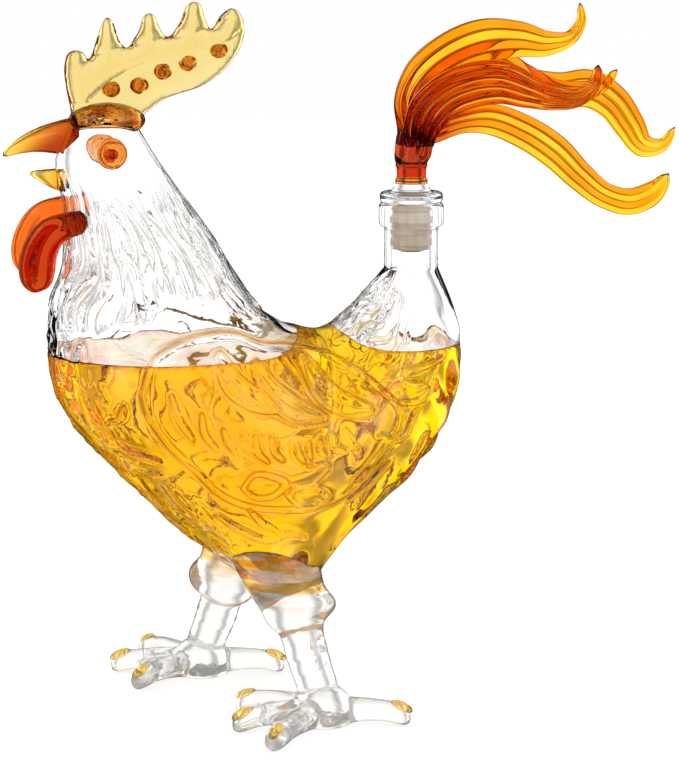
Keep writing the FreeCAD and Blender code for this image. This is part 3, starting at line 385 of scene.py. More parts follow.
def tube(rings):
    """Points and faces of a grid of rings, closed at both ends by a fan to the middle of the ring."""
    rows, around = rings.shape[:2]
    index = np.arange(rows * around).reshape(rows, around)
    beside = np.roll(index, -1, axis=1)
    quads = np.stack([index[:-1], beside[:-1], beside[1:], index[1:]], -1).reshape(-1, 4)
    first, last = rows * around, rows * around + 1
    fans = np.concatenate([
        np.stack([np.full(around, first), beside[0], index[0]], -1),
        np.stack([np.full(around, last), index[-1], beside[-1]], -1)])
    points = np.concatenate([rings.reshape(-1, 3), rings[:1].mean(1), rings[-1:].mean(1)])
    return points, quads, fans


def joined(parts):
    """Several closed surfaces as one set of points and faces."""
    starts = np.cumsum([0] + [len(p) for p, _, _ in parts[:-1]])
    return (np.concatenate([p for p, _, _ in parts]),
            np.concatenate([q + s for (_, q, _), s in zip(parts, starts)]),
            np.concatenate([f + s for (_, _, f), s in zip(parts, starts)]))


def shade_round(mesh):
    """Shades all faces of a mesh as one rounded skin."""
    mesh.polygons.foreach_set("use_smooth", np.ones(len(mesh.polygons), bool))


def add_mark(mesh, label, values):
    """Gives a mesh an attribute with one value, or one vector, for each point."""
    values = np.asarray(values, np.float32)
    kind, key = ("FLOAT", "value") if values.ndim == 1 else ("FLOAT_VECTOR", "vector")
    mesh.attributes.new(label, kind, "POINT").data.foreach_set(key, values.ravel())


def point_rows(mesh, what="co"):
    """The places of a mesh's points, or another of their vectors, as rows."""
    rows = np.empty(len(mesh.vertices) * 3)
    mesh.vertices.foreach_get(what, rows)
    return rows.reshape(-1, 3)


def mesh_piece(name, surface, marks=None):
    """An object with the surface as its mesh, turned so that its volume is positive, and with one
    attribute for each named row of values or of vectors."""
    points, quads, fans = surface
    points = metres(points)
    corners = np.concatenate([quads[:, :3], quads[:, [0, 2, 3]], fans])
    a, b, c = (points[corners[:, k]] for k in range(3))
    if np.einsum("ij,ij->i", a, np.cross(b, c)).sum() < 0:
        quads, fans = quads[:, ::-1], fans[:, ::-1]
    mesh = bpy.data.meshes.new(name)
    mesh.from_pydata(points.tolist(), [], quads.tolist() + fans.tolist())
    shade_round(mesh)
    for label, values in (marks or {}).items():
        add_mark(mesh, label, values)
    piece = bpy.data.objects.new(name, mesh)
    bpy.context.scene.collection.objects.link(piece)
    return piece


def worked_in(piece):
    """Works a piece's modifiers into its mesh."""
    bpy.context.view_layer.update()
    finished = bpy.data.meshes.new_from_object(piece.evaluated_get(bpy.context.evaluated_depsgraph_get()))
    piece.modifiers.clear()
    old, piece.data = piece.data, finished
    bpy.data.meshes.remove(old)
    finished.name = piece.name
    shade_round(finished)
    return piece


def melt(piece, voxel, rounds):
    """Melts overlapping closed surfaces into one skin: a voxel remesh, then a smoothing."""
    remesh = piece.modifiers.new("melt", "REMESH")
    remesh.mode, remesh.voxel_size, remesh.use_smooth_shade = "VOXEL", voxel * MM, True
    smooth = piece.modifiers.new("flow", "SMOOTH")
    smooth.factor, smooth.iterations = 0.5, rounds
    return worked_in(piece)


def trim(piece, blank):
    """Takes away what of a piece lies inside a blank."""
    cutter = piece.modifiers.new("trim", "BOOLEAN")
    cutter.operation, cutter.solver, cutter.object = "DIFFERENCE", "EXACT", blank
    return worked_in(piece)


def dress(piece, body, nodes, materials):
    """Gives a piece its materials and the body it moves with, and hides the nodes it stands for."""
    piece.data.materials.clear()
    for material in materials:
        piece.data.materials.append(material)
    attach(piece, body)
    if nodes:
        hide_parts(*nodes)
    return piece


def turned(outline, x, around=96):
    """Rings of a turned shape: each radius swung round an upright axis at x."""
    angle = turn(around)
    radius, height = np.asarray(outline, float).T
    return np.stack([
        x + radius[:, None] * np.cos(angle), radius[:, None] * np.sin(angle),
        np.repeat(height[:, None], around, axis=1)], -1)


def ovals(centres, half_u, half_v, around=64):
    """Rings centre + half_u cos + half_v sin, one for each row of the three arrays."""
    angle = turn(around)
    return (np.asarray(centres)[:, None] + np.asarray(half_u)[:, None] * np.cos(angle)[:, None]
            + np.asarray(half_v)[:, None] * np.sin(angle)[:, None])


def egg(centre, halves, rows=28, around=48, turned_by=None):
    """Rings of an egg: latitude circles whose radius is the sine and height the cosine of one angle."""
    polar = np.linspace(0.04, np.pi - 0.04, rows)
    angle = turn(around)
    ball = np.stack([
        np.cos(polar)[:, None] + 0 * angle, np.sin(polar)[:, None] * np.cos(angle),
        np.sin(polar)[:, None] * np.sin(angle)], -1) * np.asarray(halves)
    if turned_by is not None:
        ball = ball @ np.asarray(turned_by).T
    return ball + np.asarray(centre)


def waves(points, length, count, seed):
    """Slow waves of hand-worked glass: the mean of sines along seeded directions, near one wave length."""
    draw = np.random.default_rng(seed)
    ways = unit(draw.normal(size=(count, 3)))
    ways *= (2 * np.pi / (length * draw.uniform(0.7, 1.4, count)))[:, None]
    return np.sin(points @ ways.T + draw.uniform(0, 2 * np.pi, count)).sum(-1) / np.sqrt(count)


# Vessel

def body_rings(inset, rows, around=BODY_AROUND):
    """Rings of the blown body, drawn in by inset: each ring is an oval across the U of the body."""
    table = through(BODY_SECTIONS, rows)
    inner, outer = table[:, 0:2], table[:, 2:4]
    across = (outer - inner) / 2
    long = np.linalg.norm(across, axis=1, keepdims=True)
    across = across * (long - inset) / long
    middle = (inner + outer) / 2
    zero = np.zeros(rows)
    return ovals(in_plane(*middle.T), in_plane(*across.T),
                 np.stack([zero, table[:, 4] - inset, zero], -1), around)


def crown_rings(first, second, rise):
    """Rings that close the crown in a dome: the first ring shrinks by a cosine and climbs by a sine."""
    away = unit(first.mean(0) - second.mean(0))
    lean = np.linspace(*DOME_LEAN, DOME_RINGS)[:, None, None]
    middle = first.mean(0)
    return middle + (first - middle) * np.cos(lean) + away * rise * np.sin(lean)


def section_numbers(rows):
    """The section number, with its fraction, of each evenly spaced row."""
    table = np.asarray(BODY_SECTIONS)
    at = np.concatenate([[0.0], np.cumsum(np.linalg.norm(np.diff(table, axis=0), axis=1))])
    return np.interp(np.linspace(0, at[-1], rows), at, np.arange(len(table)))


def relief(grid, normal):
    """Height of the worked pattern on the body, and the masks that its material reads. Hackle strands
    are rounded ridges that sway down the neck and end in a scalloped hem; tail strands run up to the
    pour neck. The wing is a raised field inside a round bead, with leaf feathers that have a raised edge
    and a sunk vein, and thin threads. The breast has a net of ridges where slow waves cross zero, and
    the tail bulge has broad lumps."""
    x, _, z = np.moveaxis(grid, 2, 0)
    level = section_numbers(len(grid))[:, None] + 0 * x
    angle = turn(BODY_AROUND)[None, :] + 0 * x
    front = np.cos(angle)
    flank = step(0.25, 0.55, np.abs(normal[..., 1]))

    sway = 0.16 * np.sin(1.3 * level + 2 * angle) + 0.05 * np.sin(3.7 * level + 5 * angle)
    phase = (angle + sway) * HACKLE_STRANDS / (2 * np.pi) + 0.3 * np.sin(3 * angle + 1)
    strand = np.round(phase)
    draw = np.random.default_rng(SEED).uniform(-1, 1, HACKLE_STRANDS)[strand.astype(int) % HACKLE_STRANDS]
    off = np.abs(phase - strand) * 2
    ridge = np.sqrt(np.clip(1 - off ** 2, 0, 1)) * (0.6 + 0.4 * np.sin(2.3 * level + 9 * draw))
    hem = np.interp(x, *np.transpose(HACKLE_HEM)) + HEM_SCATTER * draw + HEM_SCALLOP * off ** 2
    hackle = step(-0.5, 0.5, z - hem) * step(1.0, 2.4, level) * step(6.0, 5.2, level)
    tail = step(9.6, 10.4, level) * step(13.4, 12.4, level) * step(-0.15, -0.55, front)
    height = (HACKLE_LAYER + HACKLE_RISE * ridge) * hackle + HACKLE_RISE * ridge * tail

    closed = through(WING_OUTLINE + WING_OUTLINE[:1], WING_POINTS)
    edge, _ = near(x, z, closed)
    edge = np.where(inside(x, z, closed), edge, -edge)
    bead = WING_BEAD * np.exp(-(edge / WING_BEAD_HALF) ** 2)
    height = height + flank * (WING_FIELD * step(-1.5, 2.5, edge) + bead)
    leaf = np.full(x.shape, -MARK_REACH)
    for spine in WING_FEATHERS:
        gap, share = near(x, z, through(spine, SPINE_POINTS))
        rim = FEATHER_HALF * np.sin(np.pi * np.clip(0.10 + 0.86 * share, 0, 1)) ** 0.6 - gap
        vein = FEATHER_VEIN * np.exp(-(gap / FEATHER_LINE) ** 2)
        raised = FEATHER_RIM * np.exp(-((rim - FEATHER_RIM) / FEATHER_LINE) ** 2)
        height = height + flank * ((FEATHER_RISE - vein) * step(0.0, 1.4, rim) + raised)
        leaf = np.maximum(leaf, rim)
    thread = np.full(x.shape, -MARK_REACH)
    for line in FLANK_THREADS:
        gap, share = near(x, z, through(line, SPINE_POINTS))
        half = THREAD_HALF_WIDTH * (0.6 + 0.4 * np.sin(np.pi * share))
        height = height + flank * THREAD_RISE * np.exp(-(gap / half) ** 2)
        thread = np.maximum(thread, half - gap)

    off_wing = step(1.0, -2.5, edge)
    breast = step(3.9, 4.4, level) * step(7.4, 6.6, level) * step(0.6, 0.88, front) * off_wing * (1 - hackle)
    net = (1 - np.abs(waves(grid, NET_WAVE, 5, SEED + 3)).clip(0, 1)) ** 2
    bulge = step(9.4, 10.4, level) * step(13.2, 12.4, level) * step(-0.3, 0.2, front) * off_wing
    height = height + NET_RISE * net * breast + LUMP_RISE * waves(grid, LUMP_WAVE, 7, SEED + 4) * bulge
    keel = KEEL_RISE * np.clip(waves(grid, KEEL_WAVE, 5, SEED + 5), 0, 1)
    height = height + keel * step(*KEEL_Z, z) * off_wing
    slow = sum(waves(grid, length, 9, SEED + k) * rise for k, (length, rise) in enumerate(SLOW_WAVES))
    height = height + slow * step(1.5, 3.5, level)

    path = np.cumsum(np.linalg.norm(np.diff(grid.mean(1), axis=0, prepend=grid[:1].mean(1)), axis=1))
    drawn = angle + 0.6 * sway
    flow = np.stack([9 * np.cos(drawn), 9 * np.sin(drawn), path[:, None] / 22 + 0 * x], -1)
    strands = np.maximum(hackle * step(1.4, 2.4, level), 0.8 * tail)
    lines = {"edge": edge, "leaf": leaf, "thread": thread}
    lines = {label: np.clip(gap, -MARK_REACH, MARK_REACH) for label, gap in lines.items()}
    return height, {**lines, "flank": flank, "strand": strands, "flow": flow}


def vessel_surface():
    """The blown vessel as one skin of rings: crown, body with its relief, pour neck, mouth, bore and
    then the smooth hollow back up to the crown. Also gives its masks and the first face of the bore."""
    body = body_rings(0.0, BODY_ROWS)
    normal = normals(body)
    height, masks = relief(body, normal)
    row = np.arange(BODY_ROWS)
    last = BODY_ROWS - 1
    fade = step(0, CROWN_FADE, row) * step(last, last - NECK_FADE, row)
    skin = body + normal * (height * fade[:, None])[..., None]
    roof = crown_rings(body[0], body[2], CROWN_RISE)
    neck = turned(NECK_OUTLINE, NECK_X, BODY_AROUND)
    foot = turned(BORE_FOOT, NECK_X, BODY_AROUND)
    hollow = body_rings(WALL, HOLLOW_STEPS)[list(HOLLOW_ROWS)]
    hollow = hollow + normals(hollow) * (HOLLOW_RISE * waves(hollow, HOLLOW_WAVE, 9, SEED + 2))[..., None]
    ceiling = crown_rings(hollow[0], hollow[1], CEILING_RISE)[::-1]
    rest = np.concatenate([neck, foot, hollow[::-1], ceiling])
    before, after = roof.shape[0] * BODY_AROUND, rest.shape[0] * BODY_AROUND + 2
    marks = {}
    for label, field in masks.items():
        field = field.reshape(BODY_ROWS * BODY_AROUND, -1).squeeze()
        ends = ((before, after),) + ((0, 0),) * (field.ndim - 1)
        marks[label] = np.pad(field, ends)
    bore = (len(roof) + BODY_ROWS + len(NECK_OUTLINE) - BORE_ROWS) * BODY_AROUND
    return tube(np.concatenate([roof, skin, rest])), marks, bore


def body_blank():
    """The solid that the welded pieces are trimmed to: the body without relief, drawn in by the lap."""
    rings = body_rings(WELD_LAP, BLANK_ROWS, BLANK_AROUND)
    return tube(np.concatenate([crown_rings(rings[0], rings[2], CROWN_RISE - WELD_LAP), rings]))


def valley_lift(x):
    """How far the liquor's surface is raised at x, a bell curve about the valley between neck and tail."""
    return VALLEY_LIFT * np.exp(-((x - VALLEY_X) / VALLEY_HALF) ** 2)


def liquor_surface():
    """The rings of the hollow, lapped into the wall and sheared down by the lift of the surface."""
    rings = body_rings(WALL - LIQUOR_LAP, LIQUOR_ROWS, LIQUOR_AROUND)
    rings[..., 2] -= valley_lift(rings[..., 0])
    return tube(rings)


def liquor_top(rim):
    """A ruled grid over one side of the rim and its mirror image: each line across sinks from the rim
    by an exponential of the distance from the glass."""
    rim = rim[np.argsort(rim[:, 0])]
    y = rim[:, 1:2] * (1 - 2 * np.asarray(TOP_SHARES))
    gap = (rim[:, 1:2] - np.abs(y)) / MM
    z = (LIQUOR_LEVEL + RIM_CLIMB * np.exp(-gap / RIM_REACH)) * MM
    index = np.arange(y.size).reshape(y.shape)
    quads = np.stack([index[:-1, :-1], index[1:, :-1], index[1:, 1:], index[:-1, 1:]], -1)
    return np.stack([rim[:, :1] + 0 * y, y, z], -1).reshape(-1, 3), quads.reshape(-1, 4)


def fill_level(piece):
    """Cuts the sheared liquor at its rim, closes its two tops, marks the rim and the tops for the
    material, and takes the shear away again."""
    build = bmesh.new()
    build.from_mesh(piece.data)
    bmesh.ops.bisect_plane(
        build, geom=build.verts[:] + build.edges[:] + build.faces[:], dist=1e-8,
        plane_co=(0, 0, (LIQUOR_LEVEL + RIM_CLIMB) * MM), plane_no=(0, 0, 1), clear_outer=True)
    rim = np.array([v.co for v in build.verts if v.is_boundary and v.co.y > -1e-8])
    valley = metres((VALLEY_X, 0, 0))[0]
    for lobe in (rim[rim[:, 0] < valley], rim[rim[:, 0] > valley]):
        points, quads = liquor_top(lobe)
        cap = bpy.data.meshes.new("liquor_top")
        cap.from_pydata(points.tolist(), [], quads.tolist())
        build.from_mesh(cap)
        bpy.data.meshes.remove(cap)
    bmesh.ops.remove_doubles(build, verts=build.verts[:], dist=2e-6)
    bmesh.ops.recalc_face_normals(build, faces=build.faces[:])
    if build.calc_volume(signed=True) < 0:
        bmesh.ops.reverse_faces(build, faces=build.faces[:])
    build.to_mesh(piece.data)
    build.free()
    mesh = piece.data
    shade_round(mesh)
    places, facing = point_rows(mesh), point_rows(mesh, "normal")
    high = places[:, 2] / MM - LIQUOR_LEVEL
    add_mark(mesh, "rim", step(0.15, 0.6, high))
    add_mark(mesh, "top", step(0.4, 0.9, facing[:, 2]) * (high > -0.05))
    places[:, 2] += valley_lift(places[:, 0] / MM - DRAWN_SHIFT) * MM
    mesh.vertices.foreach_set("co", places.ravel())


# Stopper

def sleeve_surface():
    """The ribbed sleeve turned round the neck's axis: a rib outline repeated upwards, then the bore,
    closed on itself."""
    ribs = [(r, SLEEVE_FOOT + SLEEVE_PITCH * (k + share))
            for k in range(SLEEVE_RIBS) for r, share in SLEEVE_RIB_OUTLINE]
    foot = SLEEVE_FOOT + SLEEVE_TRIM
    top = SLEEVE_FOOT + SLEEVE_PITCH * SLEEVE_RIBS - SLEEVE_TRIM
    outline = [(SLEEVE_BORE, foot), (SLEEVE_ENDS[0], foot)] + ribs + [(SLEEVE_ENDS[1], top)]
    outline += [(SLEEVE_BORE, z) for z in (top, top - SLEEVE_LAND, SLEEVE_FOOT + SLEEVE_LAND)]
    rings = turned(outline, NECK_X)
    index = np.arange(rings.shape[0] * rings.shape[1]).reshape(rings.shape[:2])
    beside, above = np.roll(index, -1, axis=1), np.roll(index, -1, axis=0)
    quads = np.stack([index, beside, np.roll(beside, -1, axis=0), above], -1).reshape(-1, 4)
    return rings.reshape(-1, 3), quads, np.zeros((0, 3), int)


def stem_surface():
    """The stem turned round the neck's axis, and how far each ring is above the disc at its foot."""
    surface = tube(turned(through(STEM_OUTLINE, 60), NECK_X, 72))
    return surface, {"along": step(STEM_DISC_TOP - 0.2, STEM_DISC_TOP + 0.3, surface[0][:, 2])}


def gather_surface():
    """Ovals stacked up the gather, drawn in between the plume roots by a cosine of the angle."""
    table = through(GATHER_SECTIONS, 26)
    angle = turn(96)
    height = table[:, :1]
    flutes = GATHER_PINCH * (0.5 + 0.5 * np.cos(GATHER_FLUTES * angle))
    pinch = 1 - flutes * step(*FLUTES_IN, height) * step(*FLUTES_OUT, height)
    return tube(np.stack([
        NECK_X + table[:, 1:2] + table[:, 2:3] * np.cos(angle) * pinch,
        table[:, 3:4] * np.sin(angle) * pinch, height + 0 * angle], -1))


def rod_profile(rods, points=13):
    """Outline of round rods fused side by side: most of a half circle for each rod along one face, the
    end of the last rod, and back along the other face. Gives u, v, the rod of each point and how deep
    in a groove it lies."""
    swing = np.linspace(0.15, 0.85, points)
    order = np.arange(rods)[::-1]
    rod = np.concatenate([np.repeat(order, points), [0] * 3, np.repeat(order[::-1], points), [rods - 1] * 3])
    swings = np.concatenate([
        np.tile(swing, rods), (0.92, 1.0, 1.08), np.tile(swing + 1, rods), (1.92, 2.0, 2.08)]) * np.pi
    u = (2 * rod + 1) / rods - 1 + np.cos(swings) / rods
    v = np.sin(swings) * np.asarray(ROD_DEPTHS)[rod]
    return u, v, rod, step(0.80, 0.52, np.abs(np.sin(swings)))


def plume_surface(rods, lane, spine, rows=110):
    """A tail feather: the outline of fused rods carried along a spine that bends in its lane, with its
    width and depth drawn in to a rounded tip, where the rods run together into an oval."""
    fan = 1 + PLUME_FAN * np.arange(len(spine)) / len(spine)
    table = through([(x, z, half, lane * PLUME_LANE * f) for (x, z, half), f in zip(spine, fan)], rows)
    run = np.linspace(0, 1, rows)
    centre = np.stack([table[:, 0], table[:, 3], table[:, 1]], -1)
    along = np.gradient(table[:, :2], axis=0)
    across = unit(in_plane(-along[:, 1], along[:, 0]))
    root = step(PLUME_ROOT, 0.0, run)[:, None]
    across = unit(across * (1 - root) + np.array([-1.0, 0, 0]) * root)
    tip = np.sqrt(np.clip(1 - step(PLUME_ROUNDING, 1.0, run) ** 2, 0.003, 1))
    half = np.maximum(table[:, 2], PLUME_LEAST_HALF) * tip
    fullness = np.minimum(1, half / PLUME_FULL_HALF)
    depth = (PLUME_TIP + (PLUME_THICKNESS - PLUME_TIP) * fullness) / 2 * tip
    u, v, rod, groove = rod_profile(rods)
    plain = np.sign(v) * np.sqrt(np.clip(1 - u ** 2, 0, 1))
    fused = step(*PLUME_FUSING, run)[:, None]
    rings = (centre[:, None] + across[:, None] * (half[:, None] * u)[..., None]
             + np.array([0.0, 1.0, 0.0]) * (depth[:, None] * (v + (plain - v) * fused))[..., None])
    tone = np.asarray(ROD_TONES)[rod]
    return tube(rings), {
        "along": np.append(np.repeat(run, len(u)), (0, 1)),
        "groove": np.append((groove * (1 - fused)).ravel(), (0, 0)),
        "tone": np.append(np.tile(tone, rows), (0, 0))}


# Head

def comb_blank(around=420):
    """The comb's outline carried across its thickness: rings of the outline drawn in along its own
    normal near both faces, by a quarter circle, and both ends closed by the whole outline."""
    rim = through(COMB_OUTLINE + COMB_OUTLINE[:1], around + 1)[:-1]
    ahead = unit(np.roll(rim, -1, axis=0) - np.roll(rim, 1, axis=0))
    inward = np.stack([ahead[:, 1], -ahead[:, 0]], -1)
    lean = np.linspace(0, np.pi / 2, 5)
    back = COMB_ROUND * (1 - np.sin(lean))
    y = COMB_HALF - COMB_ROUND * (1 - np.cos(lean))
    y, back = np.concatenate([-y, y[::-1]]), np.concatenate([back, back[::-1]])
    flat = rim[None] + inward[None] * back[:, None, None]
    rings = np.stack([flat[..., 0], y[:, None] + 0 * flat[..., 0], flat[..., 1]], -1)
    points, quads, _ = tube(rings)
    piece = mesh_piece("comb_plate", (points[:-2], quads, np.zeros((0, 3), int)))
    build = bmesh.new()
    build.from_mesh(piece.data)
    build.verts.ensure_lookup_table()
    build.faces.new(build.verts[:around])
    build.faces.new(build.verts[-around:])
    bmesh.ops.recalc_face_normals(build, faces=build.faces[:])
    build.to_mesh(piece.data)
    build.free()
    return piece


def comb_field(piece):
    """Shapes the comb's faces: each point's distance from the middle plane is scaled by a function of
    its x and z. The plate swells inwards from its edge by a square root, is thinner below the fold, and
    has grooves along the fold and along the foot of the points."""
    places = point_rows(piece.data)
    x, z = places[:, 0] / MM - DRAWN_SHIFT, places[:, 2] / MM
    edge, _ = near(x, z, through(COMB_OUTLINE + COMB_OUTLINE[:1], 200))
    swell = COMB_EDGE + (1 - COMB_EDGE) * np.sqrt(np.clip(edge / COMB_SWELL, 0, 1))
    below = np.interp(x, *np.transpose(COMB_LINE)) - z
    fold, _ = near(x, z, COMB_LINE)
    foot, _ = near(x, z, POINT_LINE)
    grooves = FOLD_GROOVE * np.exp(-(fold / GROOVE_HALF) ** 2)
    grooves = grooves + POINT_GROOVE * np.exp(-(foot / GROOVE_HALF) ** 2)
    places[:, 1] *= swell * (1 - COMB_THINNING * step(-0.4, 1.6, below) - grooves)
    piece.data.vertices.foreach_set("co", places.ravel())
    return piece


def stud_surface():
    """Five flattened beads through the comb, each a little lumpy: an egg pushed out by slow waves."""
    parts = []
    for x, z in COMB_STUDS:
        rings = egg((x, 0, z), (STUD_RADIUS, STUD_HALF_DEPTH, STUD_RADIUS * STUD_SQUASH), 32, 56)
        away = rings - (x, 0, z)
        lumps = (STUD_LUMPS * waves(rings, STUD_WAVE, 6, SEED)).clip(*STUD_LIMITS)
        parts.append(tube(rings + away * lumps[..., None]))
    return joined(parts)


def beak_surface(sections):
    """Ovals from the head to the tip, upright across the beak, with the share of the way along it and
    a mask of the underside near the head, where the material paints shade."""
    table = through(sections, 48)
    zero = np.zeros(len(table))
    around = 56
    run = np.append(np.repeat(np.linspace(0, 1, len(table)), around), (0, 1))
    surface = tube(ovals(
        in_plane(table[:, 0], table[:, 1]), in_plane(zero, table[:, 2] / 2),
        np.stack([zero, table[:, 3] / 2, zero], -1), around))
    under_shade = np.outer(np.linspace(1, 0, len(table)), (1 - np.cos(turn(around))) / 2)
    return surface, {"along": run, "under_shade": np.append(under_shade.ravel(), (0.5, 0))}


def eye_surface(sign):
    """The eye disc turned round an axis along Y, with a raised rim round a shallow dish."""
    table = through(EYE_OUTLINE, 40)
    angle = turn(72)
    return tube(np.stack([
        EYE_X + table[:, :1] * np.cos(angle), sign * (EYE_FACE - table[:, 1:2]) + 0 * angle,
        EYE_Z + table[:, :1] * np.sin(angle)], -1))


def wattle_surface(sign):
    """A lobe of ovals along a line that leaves the throat, bends over and hangs down; each oval is
    drawn in along its middle, so that the lobe has a thick rim round a sunk field."""
    table = through(WATTLE_SECTIONS, 70)
    root = np.asarray(WATTLE_ROOT[sign])
    run = np.linspace(0, 1, 70)
    centre = root + np.stack([-table[:, 0], sign * WATTLE_FLARE * run, -table[:, 1]], -1)
    along = np.gradient(centre, axis=0)
    across = unit(in_plane(-along[:, 2], along[:, 0]))
    angle = turn(80)
    field = (step(0.15, 0.4, run) * step(0.97, 0.85, run))[:, None]
    sunk = 1 - WATTLE_SINK * field * np.exp(-(np.cos(angle) / 0.5) ** 2)
    return tube(centre[:, None] + across[:, None] * (table[:, 2:3] * np.cos(angle))[..., None]
                + np.array([0, 1.0, 0]) * (table[:, 3:4] * np.sin(angle) * sunk)[..., None])


# Legs

def toe_axes(heading):
    """Level unit vectors along a toe and across it."""
    ahead = np.array([np.cos(np.radians(heading)), np.sin(np.radians(heading)), 0])
    return ahead, np.array([-ahead[1], ahead[0], 0])


def leg_parts(side):
    """Closed surfaces of one leg: thigh and shank turned round the leg's line, pushed along X at the knee
    and ringed on the shank, a palm turned round an upright line, toes of ovals that arch off the floor,
    and webs between the front toes."""
    hip, ankle = (np.asarray(p) for p in LEGS[side])
    down = unit(ankle - hip)
    aside = unit(np.cross(down, (0, 0, 1.0)))
    front = np.cross(down, aside)
    run, radius, bulge = through(LEG_OUTLINE, 130).T
    for place in SHANK_RINGS:
        radius = radius + RING_RISE * np.exp(-((run - place) / RING_HALF) ** 2)
    radius = radius + SHANK_RIPPLE * np.sin(run * 0.9) * step(22, 27, run)
    centre = hip + down * run[:, None]
    centre[:, 0] += bulge * np.sign(ankle[0] - hip[0])
    parts = [tube(ovals(centre, aside * radius[:, None], front * radius[:, None], 72)),
             tube(turned(PALM_OUTLINE, 0.0, 64) + (ankle[0], ankle[1], 0))]
    sole = ankle * (1, 1, 0)
    for heading, reach in TOES[side]:
        table = through(np.asarray(TOE_SECTIONS) * (reach, 1, 1, 1), 48)
        ahead, cross = toe_axes(heading)
        middle = sole + ahead * table[:, :1]
        middle[:, 2] = (table[:, 2] + table[:, 3]) / 2
        high = np.array([0, 0, 1.0]) * (table[:, 3:4] - table[:, 2:3]) / 2
        toe = ovals(middle, cross * table[:, 1:2], high, 48)
        parts.append(tube(np.maximum(toe, (-np.inf, -np.inf, 0.0))))
    inner, middle_toe, outer = [heading for heading, _ in TOES[side][:3]]
    for heading in ((inner + middle_toe) / 2, (middle_toe + outer) / 2):
        ahead, cross = toe_axes(heading)
        turned_by = np.stack([ahead, cross, (0, 0, 1.0)], -1)
        parts.append(tube(egg(sole + ahead * WEB_REACH + (0, 0, WEB_Z), WEB_HALVES, turned_by=turned_by)))
    return joined(parts)


def claw_surface(side):
    """Four long beads, each along its toe and tipped down."""
    sole = np.asarray(LEGS[side][1]) * (1, 1, 0)
    parts = []
    tilt = np.radians(CLAW_TILT)
    for heading, reach in TOES[side]:
        ahead, cross = toe_axes(heading)
        nose = ahead * np.cos(tilt) - np.array([0, 0, np.sin(tilt)])
        centre = sole + ahead * reach * CLAW_SHARE + (0, 0, CLAW_Z)
        turned_by = np.stack([nose, cross, np.cross(nose, cross)], -1)
        parts.append(tube(egg(centre, CLAW_HALVES, turned_by=turned_by)))
    return joined(parts)


# Materials

def new_material(name):
    """A new material, its node tree and the Principled skin that it starts with."""
    material = bpy.data.materials.new(name)
    material.use_nodes = True
    return material, material.node_tree, material.node_tree.nodes["Principled BSDF"]


def set_inputs(made, **inputs):
    """Sets a node's named inputs to plain values."""
    for label, value in inputs.items():
        made.inputs[label.replace("_", " ")].default_value = value
    return made


def node(tree, kind, **inputs):
    """A new shader node with its named inputs set."""
    return set_inputs(tree.nodes.new(kind), **inputs)


def feed(tree, socket, item):
    """Links a socket to another one's output, or sets a plain value there."""
    if isinstance(item, bpy.types.NodeSocket):
        tree.links.new(item, socket)
    else:
        socket.default_value = item


def maths(tree, kind, first, second=0.0):
    """The result of one sum on sockets or plain values."""
    made = tree.nodes.new("ShaderNodeMath")
    made.operation = kind
    feed(tree, made.inputs[0], first)
    feed(tree, made.inputs[1], second)
    return made.outputs[0]


def times(tree, first, second):
    """The product of two sockets or plain values."""
    return maths(tree, "MULTIPLY", first, second)


def away_from(tree, value, centre):
    """How far a value is from a centre, either way."""
    return maths(tree, "ABSOLUTE", maths(tree, "SUBTRACT", value, centre))


def ramp(tree, value, low, high, start=0.0, end=1.0):
    """A smooth run from start to end as the value goes from low to high."""
    made = node(tree, "ShaderNodeMapRange", From_Min=low, From_Max=high, To_Min=start, To_Max=end)
    made.interpolation_type = "SMOOTHSTEP"
    tree.links.new(value, made.inputs["Value"])
    return made.outputs["Result"]


def blend(tree, factor, first, second, kind="MIX"):
    """Two colours mixed by a factor."""
    made = tree.nodes.new("ShaderNodeMix")
    made.data_type, made.blend_type = "RGBA", kind
    colours = [socket for socket in made.inputs if socket.type == "RGBA"]
    feed(tree, made.inputs["Factor"], factor)
    feed(tree, colours[0], first)
    feed(tree, colours[1], second)
    return [socket for socket in made.outputs if socket.type == "RGBA"][0]


def mark(tree, label, kind="Fac"):
    """The values of a piece's own attribute."""
    made = tree.nodes.new("ShaderNodeAttribute")
    made.attribute_name = label
    return made.outputs[kind]


def noise(tree, scale, detail=1.0):
    """Cloudy noise fixed to the piece."""
    place = tree.nodes.new("ShaderNodeTexCoord")
    made = node(tree, "ShaderNodeTexNoise", Scale=scale, Detail=detail)
    tree.links.new(place.outputs["Object"], made.inputs["Vector"])
    return made.outputs["Fac"]


def split_way(tree, kind):
    """The X, Y and Z of a texture coordinate."""
    place = tree.nodes.new("ShaderNodeTexCoord")
    parted = tree.nodes.new("ShaderNodeSeparateXYZ")
    tree.links.new(place.outputs[kind], parted.inputs[0])
    return parted.outputs


def bump_skin(tree, skin, height, strength, depth):
    """Bumps a skin's normal by a height, on top of the bump that it may have."""
    made = node(tree, "ShaderNodeBump", Strength=strength, Distance=depth)
    tree.links.new(height, made.inputs["Height"])
    normal = skin.inputs["Normal"]
    if normal.links:
        tree.links.new(normal.links[0].from_socket, made.inputs["Normal"])
    tree.links.new(made.outputs["Normal"], normal)


def new_group(name, inputs, outputs):
    """A shader node group with named inputs and outputs, and the sockets at its two ends."""
    group = bpy.data.node_groups.new(name, "ShaderNodeTree")
    for label, kind, value in inputs:
        socket = group.interface.new_socket(label, in_out="INPUT", socket_type="NodeSocket" + kind)
        socket.default_value = value
    for label, kind in outputs:
        group.interface.new_socket(label, in_out="OUTPUT", socket_type="NodeSocket" + kind)
    return group, group.nodes.new("NodeGroupInput").outputs, group.nodes.new("NodeGroupOutput").inputs


def placed(tree, group, **inputs):
    """A node group placed in a material, with its named inputs fed."""
    made = tree.nodes.new("ShaderNodeGroup")
    made.node_tree = group
    for label, item in inputs.items():
        feed(tree, made.inputs[label.replace("_", " ")], item)
    return made.outputs


